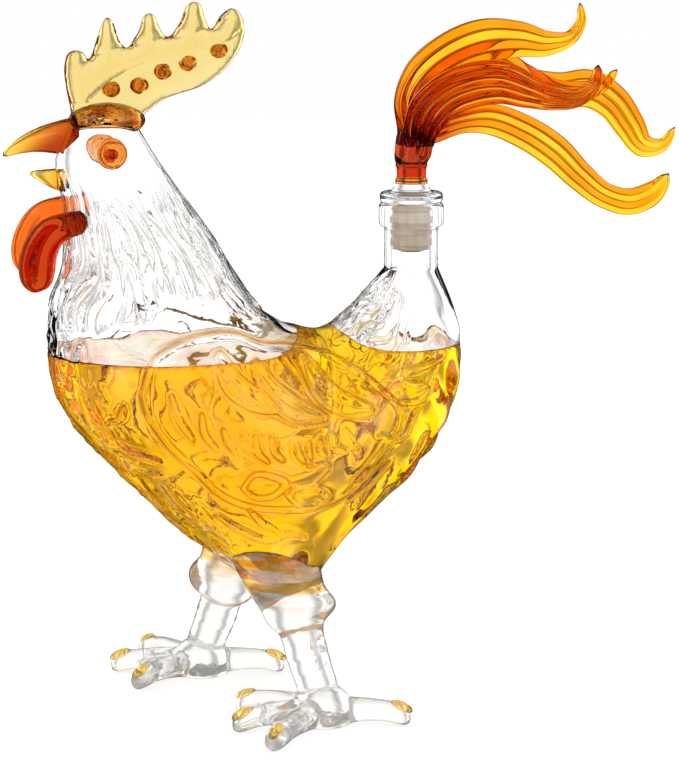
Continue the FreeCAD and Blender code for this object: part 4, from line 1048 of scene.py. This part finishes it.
def worked_glass_group():
    """Ripples and tiny seeds of hand-worked glass: a height for Bump and a mottle from 0 to 1."""
    group, given, result = new_group(
        "worked_glass",
        (("Ripple Size", "Float", 60.0), ("Fine Size", "Float", 210.0), ("Fine Share", "Float", 0.3)),
        (("Height", "Float"), ("Mottle", "Float")))
    place = group.nodes.new("ShaderNodeTexCoord")
    broad = node(group, "ShaderNodeTexNoise", Detail=1.5, Distortion=0.6)
    fine = node(group, "ShaderNodeTexNoise", Detail=2.0, Distortion=0.3)
    mixed = group.nodes.new("ShaderNodeMix")
    link = group.links.new
    link(place.outputs["Object"], broad.inputs["Vector"])
    link(place.outputs["Object"], fine.inputs["Vector"])
    link(given["Ripple Size"], broad.inputs["Scale"])
    link(given["Fine Size"], fine.inputs["Scale"])
    link(given["Fine Share"], mixed.inputs["Factor"])
    link(broad.outputs["Fac"], mixed.inputs["A"])
    link(fine.outputs["Fac"], mixed.inputs["B"])
    link(mixed.outputs["Result"], result["Height"])
    link(broad.outputs["Fac"], result["Mottle"])
    return group


def level_streaks_group():
    """A mask of level streaks: noise drawn out along X and Y and packed along Z."""
    group, given, result = new_group(
        "level_streaks", (("Level Scale", "Float", 40.0), ("Upward Scale", "Float", 260.0)),
        (("Mask", "Float"),))
    place = group.nodes.new("ShaderNodeTexCoord")
    scales = group.nodes.new("ShaderNodeCombineXYZ")
    drawn = group.nodes.new("ShaderNodeVectorMath")
    drawn.operation = "MULTIPLY"
    streak = node(group, "ShaderNodeTexNoise", Scale=1.0, Detail=2.0, Distortion=0.8)
    link = group.links.new
    link(given["Level Scale"], scales.inputs["X"])
    link(given["Level Scale"], scales.inputs["Y"])
    link(given["Upward Scale"], scales.inputs["Z"])
    link(place.outputs["Object"], drawn.inputs[0])
    link(scales.outputs["Vector"], drawn.inputs[1])
    link(drawn.outputs["Vector"], streak.inputs["Vector"])
    link(ramp(group, streak.outputs["Fac"], 0.38, 0.60), result["Mask"])
    return group


def edge_shade_group():
    """A colour with painted shade: it darkens towards a tint where the surface is seen edge on."""
    group, given, result = new_group(
        "dark_edge", (("Colour", "Color", (1, 1, 1, 1)), ("Tint", "Color", (1, 1, 1, 1)),
                      ("Facing", "Float", 0.0), ("Share", "Float", 0.8)), (("Colour", "Color"),))
    share = times(group, ramp(group, given["Facing"], 0.55, 0.95), given["Share"])
    group.links.new(blend(group, share, given["Colour"], given["Tint"], "MULTIPLY"), result["Colour"])
    return group


WORKED_GLASS = worked_glass_group()
LEVEL_STREAKS = level_streaks_group()
EDGE_SHADE = edge_shade_group()
# Ripples of worked glass: how much denser the fine ones are, and the depth in metres
FINE_RIPPLES, RIPPLE_DEPTH = 3.5, 2 * MM
# Share of its tint that glass leaves in its shadow
SHADOW_TINT = 0.75
# Tints of the painted shade along the outlines of clear glass and of coloured glass
GREY_EDGE_SHADE, BROWN_EDGE_SHADE = (0.30, 0.29, 0.27), (0.42, 0.26, 0.12)
LIQUOR_IOR = 1.36
# Heights in metres between which the painted amber glint of the liquor on the thigh begins
THIGH_GLINT = (0.043, 0.052)


def glass(name, tint, drink=None, density=0.0, ior=1.47, ripple=60.0, bump=0.15, smear=0.03, gloss=1.0,
          clear=1.0):
    """Transparent glass: a tinted skin with worked ripples, or an even one where bump is 0, and colour
    that deepens with thickness. Shadow rays pass through a plain tint. Gloss dims the mirror of the skin
    seen square on, and clear is the share of light that passes, the rest being milky."""
    material, tree, skin = new_material(name)
    link = tree.links.new
    out = tree.nodes["Material Output"]
    set_inputs(skin, Base_Color=(*tint, 1), Roughness=0.0, IOR=ior, Transmission_Weight=clear,
               Specular_Tint=(gloss, gloss, gloss, 1))
    if bump:
        worked = placed(tree, WORKED_GLASS, Ripple_Size=ripple, Fine_Size=ripple * FINE_RIPPLES)
        link(ramp(tree, worked["Mottle"], 0.0, 1.0, 0.0, smear), skin.inputs["Roughness"])
        bump_skin(tree, skin, worked["Height"], bump, RIPPLE_DEPTH)
    light = tree.nodes.new("ShaderNodeLightPath")
    pale = [1 - SHADOW_TINT * (1 - c) for c in tint]
    passed = node(tree, "ShaderNodeBsdfTransparent", Color=(*pale, 1))
    choice = tree.nodes.new("ShaderNodeMixShader")
    link(light.outputs["Is Shadow Ray"], choice.inputs["Fac"])
    link(skin.outputs["BSDF"], choice.inputs[1])
    link(passed.outputs["BSDF"], choice.inputs[2])
    link(choice.outputs["Shader"], out.inputs["Surface"])
    if drink:
        soak = node(tree, "ShaderNodeVolumeAbsorption", Color=(*drink, 1), Density=density)
        link(soak.outputs["Volume"], out.inputs["Volume"])
    return material, skin


def shade_edges(material, skin, tint, share):
    """Paints shade on the skin where it is seen edge on. It stands in for the dark outline that thick glass
    shows where it bends the light.
    """
    tree = material.node_tree
    socket = skin.inputs["Base Color"]
    colour = socket.links[0].from_socket if socket.links else tuple(socket.default_value)
    facing = node(tree, "ShaderNodeLayerWeight", Blend=0.5).outputs["Facing"]
    edge = placed(tree, EDGE_SHADE, Colour=colour, Tint=(*tint, 1), Facing=facing, Share=share)
    tree.links.new(edge["Colour"], socket)
    return material


def vessel_glass():
    """Clear blown glass: thin drawn strands on the hackle and the tail, with painted grey shade where they
    bend the light, and painted brown glints of the liquor along the edges of the wing, of its large feathers
    and of the threads, broken in places and fainter above the liquor."""
    material, skin = glass("vessel_glass", (1, 1, 1), bump=0.08)
    tree = material.node_tree
    link = tree.links.new
    drawn = node(tree, "ShaderNodeTexNoise", Scale=1.0, Detail=1.0)
    link(mark(tree, "flow", "Vector"), drawn.inputs["Vector"])
    off = away_from(tree, drawn.outputs["Fac"], 0.5)
    strand = times(tree, ramp(tree, off, 0.0, 0.045, 1.0, 0.0), mark(tree, "strand"))
    # Mask of the painted brown glint of the liquor along the edges of the wing, its feathers and the
    # threads, weaker above the liquor
    edge = away_from(tree, maths(tree, "ABSOLUTE", mark(tree, "edge")), 1.5)
    leaf = maths(tree, "ABSOLUTE", mark(tree, "leaf"))
    thread = maths(tree, "ABSOLUTE", mark(tree, "thread"))
    rim = maths(tree, "MINIMUM", edge, maths(tree, "MINIMUM", leaf, thread))
    rim = ramp(tree, rim, 0.14, 0.65, 1.0, 0.0)
    broken = ramp(tree, noise(tree, 55.0), 0.35, 0.6, 0.2, 0.95)
    level = LIQUOR_LEVEL * MM
    sunk = ramp(tree, split_way(tree, "Object")["Z"], level - 2 * MM, level, 1.0, 0.3)
    rim = times(tree, times(tree, rim, mark(tree, "flank")), times(tree, broken, sunk))
    # Painted grey shade on the strands, then the painted brown glint of the liquor along the edges
    colour = blend(tree, times(tree, strand, 0.75), (1, 1, 1, 1), (0.32, 0.34, 0.36, 1))
    link(blend(tree, rim, colour, (0.45, 0.20, 0.05, 1)), skin.inputs["Base Color"])
    bump_skin(tree, skin, strand, 0.5, 0.7 * MM)
    return shade_edges(material, skin, GREY_EDGE_SHADE, 0.8)


def amber_liquor():
    """Amber spirit that deepens with thickness, with a brown line of painted shade where it climbs the
    glass, and a mirror on its top."""
    material, skin = glass(
        "amber_liquor", (1, 1, 1), (0.9995, 0.966, 0.10), 240.0, ior=LIQUOR_IOR, bump=0.0, gloss=0.0)
    tree = material.node_tree
    set_inputs(skin, Coat_IOR=LIQUOR_IOR, Coat_Roughness=0.02)
    tree.links.new(mark(tree, "top"), skin.inputs["Coat Weight"])
    # Painted shade: a brown line where the liquor climbs the glass
    colour = blend(tree, mark(tree, "rim"), (1, 1, 1, 1), (0.55, 0.22, 0.04, 1))
    tree.links.new(colour, skin.inputs["Base Color"])
    return material


def plume_glass(name, light, deep, root, seam_shade, **rest):
    """Rods of two tints fused side by side: each rod's own tone mixes the two, the root is darker and the
    seams between the rods carry the darkest painted shade."""
    material, skin = glass(name, light, **rest)
    tree = material.node_tree
    wander = maths(tree, "ADD", mark(tree, "along"), times(tree, noise(tree, 70.0, 2.0), 0.22))
    cloudy = maths(tree, "ADD", mark(tree, "tone"), ramp(tree, noise(tree, 45.0), 0.3, 0.7, -0.25, 0.25))
    colour = blend(tree, cloudy, (*light, 1), (*deep, 1))
    colour = blend(tree, ramp(tree, wander, 0.16, 0.42, 1.0, 0.0), colour, (*root, 1))
    # Painted shade in the grooves between the rods
    colour = blend(tree, times(tree, mark(tree, "groove"), 0.9), colour, (*seam_shade, 1), "MULTIPLY")
    tree.links.new(colour, skin.inputs["Base Color"])
    return shade_edges(material, skin, BROWN_EDGE_SHADE, 0.85)


def graded_glass(name, stops, under_shade=None, **rest):
    """Coloured glass whose tint runs from root to tip, streaked along the way, with a darker tint painted as
    shade on the underside near the root where one is given."""
    material, skin = glass(name, (1, 1, 1), **rest)
    tree = material.node_tree
    wander = maths(tree, "ADD", mark(tree, "along"), times(tree, noise(tree, 90.0, 2.0), 0.16))
    run = tree.nodes.new("ShaderNodeValToRGB")
    while len(run.color_ramp.elements) < len(stops):
        run.color_ramp.elements.new(0.5)
    for element, (position, colour) in zip(run.color_ramp.elements, stops):
        element.position, element.color = position, (*colour, 1)
    tree.links.new(wander, run.inputs["Fac"])
    colour = run.outputs["Color"]
    if under_shade:
        # Painted shade on the underside near the root
        colour = blend(tree, ramp(tree, mark(tree, "under_shade"), 0.1, 0.5), colour, (*under_shade, 1))
    tree.links.new(colour, skin.inputs["Base Color"])
    return shade_edges(material, skin, BROWN_EDGE_SHADE, 0.7)


def leg_glass():
    """Clear glass with a little milk in it, and a painted amber glint of the liquor in streaks across the
    top of the thigh, where the liquor shines into the weld."""
    clear = (0.97, 0.965, 0.95)
    material, skin = glass("leg_glass", clear, (0.82, 0.83, 0.82), 12.0, ripple=110.0, bump=0.25,
                           smear=0.06, clear=0.84)
    tree = material.node_tree
    weld = ramp(tree, split_way(tree, "Object")["Z"], *THIGH_GLINT)
    streak = times(tree, placed(tree, LEVEL_STREAKS)["Mask"], weld)
    # Painted glint: amber streaks of the liquor across the top of the thigh
    colour = blend(tree, streak, (*clear, 1), (0.96, 0.50, 0.06, 1))
    tree.links.new(colour, skin.inputs["Base Color"])
    return shade_edges(material, skin, GREY_EDGE_SHADE, 0.8)


def saddle_glass():
    """Amber glass in level streaks, dark and light, where the comb is welded to the crown."""
    dark = (0.60, 0.24, 0.05)
    material, skin = glass("saddle_glass", dark, (0.86, 0.48, 0.10), 55.0, ripple=140.0, bump=0.20)
    tree = material.node_tree
    streak = placed(tree, LEVEL_STREAKS)["Mask"]
    tree.links.new(blend(tree, streak, (*dark, 1), (0.97, 0.66, 0.22, 1)), skin.inputs["Base Color"])
    return shade_edges(material, skin, BROWN_EDGE_SHADE, 0.7)


def silicone():
    """Translucent moulded silicone: beige, soft, with a fine matt grain."""
    material, tree, skin = new_material("seal_silicone")
    set_inputs(skin, IOR=1.41, Subsurface_Weight=0.3, Subsurface_Radius=(0.003, 0.002, 0.0015),
               Transmission_Weight=0.15)
    grain = noise(tree, 900.0, 3.0)
    cloud = ramp(tree, noise(tree, 160.0), 0.3, 0.7)
    colour = blend(tree, cloud, (0.61, 0.50, 0.38, 1), (0.75, 0.64, 0.52, 1))
    tree.links.new(colour, skin.inputs["Base Color"])
    tree.links.new(ramp(tree, grain, 0.0, 1.0, 0.28, 0.46), skin.inputs["Roughness"])
    bump_skin(tree, skin, grain, 0.08, 0.4 * MM)
    return material


VESSEL = vessel_glass()
WETTED, _ = glass("wetted_glass", (1, 1, 1), bump=0.04, gloss=0.0)
# Clear and straw glass get painted shade along their outlines
CLEAR = shade_edges(*glass("clear_glass", (1, 1, 1), (0.80, 0.82, 0.83), 14.0, bump=0.10), GREY_EDGE_SHADE, 0.8)
FOOT = leg_glass()
STRAW = shade_edges(*glass("straw_glass", (0.83, 0.76, 0.43), (0.93, 0.72, 0.16), 110.0, ripple=120.0, bump=0.25),
              BROWN_EDGE_SHADE, 0.7)
AMBER, _ = glass("amber_glass", (0.78, 0.38, 0.05), (0.90, 0.45, 0.03), 80.0, ripple=140.0, bump=0.20)
BROWN = saddle_glass()
ORANGE, _ = glass("eye_glass", (0.82, 0.35, 0.06), (0.92, 0.30, 0.02), 60.0, ripple=140.0, bump=0.15)
CLAW, _ = glass("claw_glass", (0.98, 0.74, 0.24), (0.96, 0.60, 0.06), 60.0, ripple=140.0, bump=0.15)
# One red glass for both wattles, as a painted shaded copy for the near lobe and a painted lit copy for the
# far lobe
SHADED_WATTLE_RED, _ = glass("shaded_wattle_glass", (0.60, 0.09, 0.012), (0.72, 0.10, 0.01), 90.0, ripple=110.0, bump=0.20)
LIT_WATTLE_RED, _ = glass("lit_wattle_glass", (0.84, 0.20, 0.02), (0.90, 0.22, 0.02), 60.0, ripple=110.0, bump=0.20)
MAROON, _ = glass("maroon_glass", (0.62, 0.10, 0.03), (0.70, 0.12, 0.03), 60.0, ripple=110.0, bump=0.20)
LIQUOR = amber_liquor()
# The beak's underside near the head gets a painted shade
BEAK = graded_glass("beak_glass", (
    (0.10, (0.52, 0.11, 0.015)), (0.36, (0.86, 0.34, 0.03)), (0.66, (0.95, 0.54, 0.05)),
    (1.0, (0.99, 0.68, 0.12))),
    under_shade=(0.44, 0.06, 0.012), drink=(0.97, 0.60, 0.06), density=45.0, bump=0.15)
JAW = graded_glass("jaw_glass", (
    (0.10, (0.52, 0.16, 0.02)), (0.40, (0.90, 0.50, 0.05)), (0.75, (0.99, 0.76, 0.16)),
    (1.0, (1.0, 0.82, 0.26))),
    drink=(0.97, 0.62, 0.06), density=45.0, bump=0.15)
STEM = graded_glass("stem_glass", (
    (0.0, (0.93, 0.50, 0.08)), (0.30, (0.93, 0.50, 0.08)), (0.55, (0.72, 0.07, 0.01)),
    (1.0, (0.60, 0.05, 0.01))),
    drink=(0.80, 0.20, 0.03), density=60.0, bump=0.10)
GOLD_PLUME = plume_glass(
    "gold_plume_glass", (1.0, 0.84, 0.20), (0.95, 0.44, 0.05), (0.66, 0.16, 0.05), (0.55, 0.28, 0.10),
    drink=(0.990, 0.86, 0.05), density=600.0, bump=0.08)
RED_PLUME = plume_glass(
    "red_plume_glass", (0.95, 0.64, 0.22), (0.82, 0.37, 0.11), (0.52, 0.10, 0.04), (0.55, 0.24, 0.10),
    drink=(0.968, 0.80, 0.18), density=600.0, bump=0.08)
SILICONE = silicone()

# Pieces of the vessel

VESSEL_NODES = (
    "head_shell", "tail_shell", "left_belly", "right_belly", "left_wing", "right_wing", "pour_neck")
surface, marks, bore = vessel_surface()
vessel = mesh_piece("vessel", surface, marks)
centres = np.empty(len(vessel.data.polygons) * 3)
vessel.data.polygons.foreach_get("center", centres)
wetted = centres[2::3] < LIQUOR_LEVEL * MM
wetted[:bore] = False
vessel.data.polygons.foreach_set("material_index", wetted.astype(int))
dress(vessel, "decanter", VESSEL_NODES, (VESSEL, WETTED))
liquor = mesh_piece("liquor", liquor_surface())
fill_level(liquor)
dress(liquor, "decanter", (), (LIQUOR,))

# Pieces of the stopper

dress(mesh_piece("seal_sleeve", sleeve_surface()), "sleeve", ("stopper_sleeve",), (SILICONE,))
plug = mesh_piece("plug", tube(turned(PLUG_OUTLINE, NECK_X)))
dress(plug, "stopper", ("stopper_plug",), (CLEAR,))
dress(mesh_piece("stem", *stem_surface()), "stopper", ("tail_stem",), (STEM,))
dress(mesh_piece("gather", gather_surface()), "stopper", ("tail_knot",), (MAROON,))
for label, (rods, lane, spine) in PLUMES.items():
    material, slot = (RED_PLUME, "red_glass") if label == "near_plume" else (GOLD_PLUME, "gold_glass")
    feather = mesh_piece(label + "_feather", *plume_surface(rods, lane, spine))
    dress(feather, "stopper", (label,), (material,))

# Pieces welded to the body; the saddle, comb, beaks, eye discs, wattles and legs are trimmed to it

blank = mesh_piece("body_blank", body_blank())
within = np.asarray(SADDLE_HALVES) - SADDLE_LAP
saddle_blank = mesh_piece("saddle_blank", tube(egg(SADDLE_CENTRE, within, 40, 64)))
saddle = trim(mesh_piece("saddle", tube(egg(SADDLE_CENTRE, SADDLE_HALVES, 40, 64))), blank)
dress(saddle, "decanter", ("comb_saddle",), (BROWN,))
comb = comb_field(melt(comb_blank(), COMB_VOXEL, COMB_SMOOTHING))
comb = trim(trim(comb, saddle_blank), blank)
dress(comb, "decanter", ("comb",), (STRAW,))
dress(mesh_piece("comb_beads", stud_surface()), "decanter", ("comb_studs",), (AMBER,))
for label, part, sections, material, slot in (
        ("beak_top", "upper_beak", BEAK_SECTIONS, BEAK, "amber_glass"),
        ("beak_low", "lower_beak", JAW_SECTIONS, JAW, "gold_glass")):
    dress(trim(mesh_piece(label, *beak_surface(sections)), blank), "decanter", (part,), (material,))
for side, sign in (("left", -1), ("right", 1)):
    disc = trim(mesh_piece(side + "_eye_disc", eye_surface(sign)), blank)
    dress(disc, "decanter", (side + "_eye",), (ORANGE,))
    bead = tube(egg((EYE_X, sign * EYE_FACE, EYE_Z), (PUPIL_RADIUS,) * 3))
    dress(mesh_piece(side + "_eye_bead", bead), "decanter", (side + "_pupil",), (MAROON,))
    lobe = trim(mesh_piece(side + "_wattle_lobe", wattle_surface(sign)), blank)
    # Painted light: the near lobe takes the shaded copy of the red glass, the far lobe the lit copy
    dress(lobe, "decanter", (side + "_wattle",), (SHADED_WATTLE_RED if side == "left" else LIT_WATTLE_RED,))
    leg = melt(mesh_piece(side + "_leg", leg_parts(side)), LEG_VOXEL, LEG_SMOOTHING)
    leg = trim(leg, blank)
    toes = [side + "_toe_" + t for t in ("inner", "middle", "outer", "rear")]
    dress(leg, "decanter", [side + "_thigh", side + "_shank", side + "_palm"] + toes, (FOOT,))
    claws = mesh_piece(side + "_claw_beads", claw_surface(side))
    dress(claws, "decanter", (side + "_claws",), (CLAW,))
for spare in (blank, saddle_blank):
    bpy.data.meshes.remove(spare.data)


# Floor, light and camera

def floor_piece():
    """A round pale floor, a fan of rings, that glass neither mirrors nor shows: the studio does that."""
    outline = ((1.0, FLOOR_BELOW), (FLOOR_REACH, FLOOR_BELOW), (FLOOR_REACH, FLOOR_TOP), (1.0, FLOOR_TOP))
    floor = mesh_piece("floor", tube(turned(outline, 0.0, 64)))
    paint, _, skin = new_material("floor_paint")
    set_inputs(skin, Base_Color=(0.56, 0.56, 0.56, 1), Roughness=0.6, Specular_IOR_Level=0.0,
               Emission_Color=(1, 1, 1, 1), Emission_Strength=0.58)
    floor.data.materials.append(paint)
    floor.visible_transmission = False
    floor.visible_glossy = False


def stripes(tree, swing, power):
    """Stripes where a cosine is low, the narrower the higher the power."""
    return maths(tree, "POWER", maths(tree, "SUBTRACT", 0.5, times(tree, swing, 0.5)), power)


def studio_world():
    """White to the camera. Through glass it is a round of bright panels between narrow dark bands,
    dimmer overhead and below; in a mirror it is a dim room with tall narrow soft boxes."""
    scene = bpy.context.scene
    world = bpy.data.worlds.new("studio")
    scene.world = world
    world.use_nodes = True
    tree = world.node_tree
    tree.nodes.clear()
    link = tree.links.new
    way = split_way(tree, "Generated")
    bearing = maths(tree, "ARCTAN2", way["Y"], way["X"])
    turned_to = maths(tree, "SUBTRACT", bearing, float(np.radians(STUDIO_BEARING)))
    band_swing = maths(tree, "COSINE", times(tree, turned_to, DARK_BANDS))
    box_swing = maths(tree, "COSINE", times(tree, turned_to, SOFT_BOXES))
    lit = maths(tree, "SUBTRACT", PANEL_LIGHT, times(tree, box_swing, PANEL_SWING))
    bands = times(tree, stripes(tree, band_swing, BAND_POWER), BAND_DEPTH)
    panels = maths(tree, "SUBTRACT", lit, bands)
    high = ramp(tree, way["Z"], 0.45, 0.85, 1.0, 0.6)
    low = ramp(tree, way["Z"], -0.8, -0.4, 0.7, 1.0)
    through_glass = times(tree, panels, times(tree, high, low))
    tall = ramp(tree, away_from(tree, way["Z"], BOX_HEIGHT), 0.25, 0.4, 1.0, 0.0)
    boxes = times(tree, stripes(tree, box_swing, BOX_POWER), tall)
    mirrored = maths(tree, "ADD", ROOM_LIGHT, times(tree, boxes, BOX_LIGHT))
    rays = tree.nodes.new("ShaderNodeLightPath")
    to_glass = blend(tree, rays.outputs["Is Transmission Ray"], mirrored, through_glass)
    to_diffuse = blend(tree, rays.outputs["Is Diffuse Ray"], to_glass, (1, 1, 1, 1))
    to_camera = blend(tree, rays.outputs["Is Camera Ray"], to_diffuse, (1, 1, 1, 1))
    glow = node(tree, "ShaderNodeBackground", Strength=1.0)
    link(to_camera, glow.inputs["Color"])
    out = tree.nodes.new("ShaderNodeOutputWorld")
    link(glow.outputs["Background"], out.inputs["Surface"])
    scene.view_settings.view_transform = "Standard"
    scene.cycles.max_bounces = BOUNCES
    scene.cycles.transmission_bounces = BOUNCES
    scene.cycles.transparent_max_bounces = BOUNCES
    scene.cycles.use_denoising = True


def aimed(name, data, place, aim):
    """A lamp or a camera in its place, looking at the aim."""
    holder = bpy.data.objects.new(name, data)
    holder.location = place
    holder.rotation_euler = (Vector(aim) - Vector(place)).to_track_quat("-Z", "Y").to_euler()
    bpy.context.scene.collection.objects.link(holder)
    return holder


def soft_lamp(name, place, size, watts):
    """A square soft lamp aimed at the body."""
    lamp = bpy.data.lights.new(name, "AREA")
    lamp.shape, lamp.size, lamp.energy = "SQUARE", size, watts
    aimed(name, lamp, place, LAMP_AIM).visible_camera = False


def photo_camera():
    """The camera of the photograph: its place, aim and focal length."""
    camera = bpy.data.cameras.new("photo_camera")
    camera.lens, camera.sensor_fit, camera.sensor_width = CAMERA_LENS, "HORIZONTAL", CAMERA_SENSOR
    bpy.context.scene.camera = aimed("photo_camera", camera, CAMERA_PLACE, CAMERA_AIM)


floor_piece()
studio_world()
for label, (place, size, watts) in LAMPS.items():
    soft_lamp(label, place, size, watts)
photo_camera()
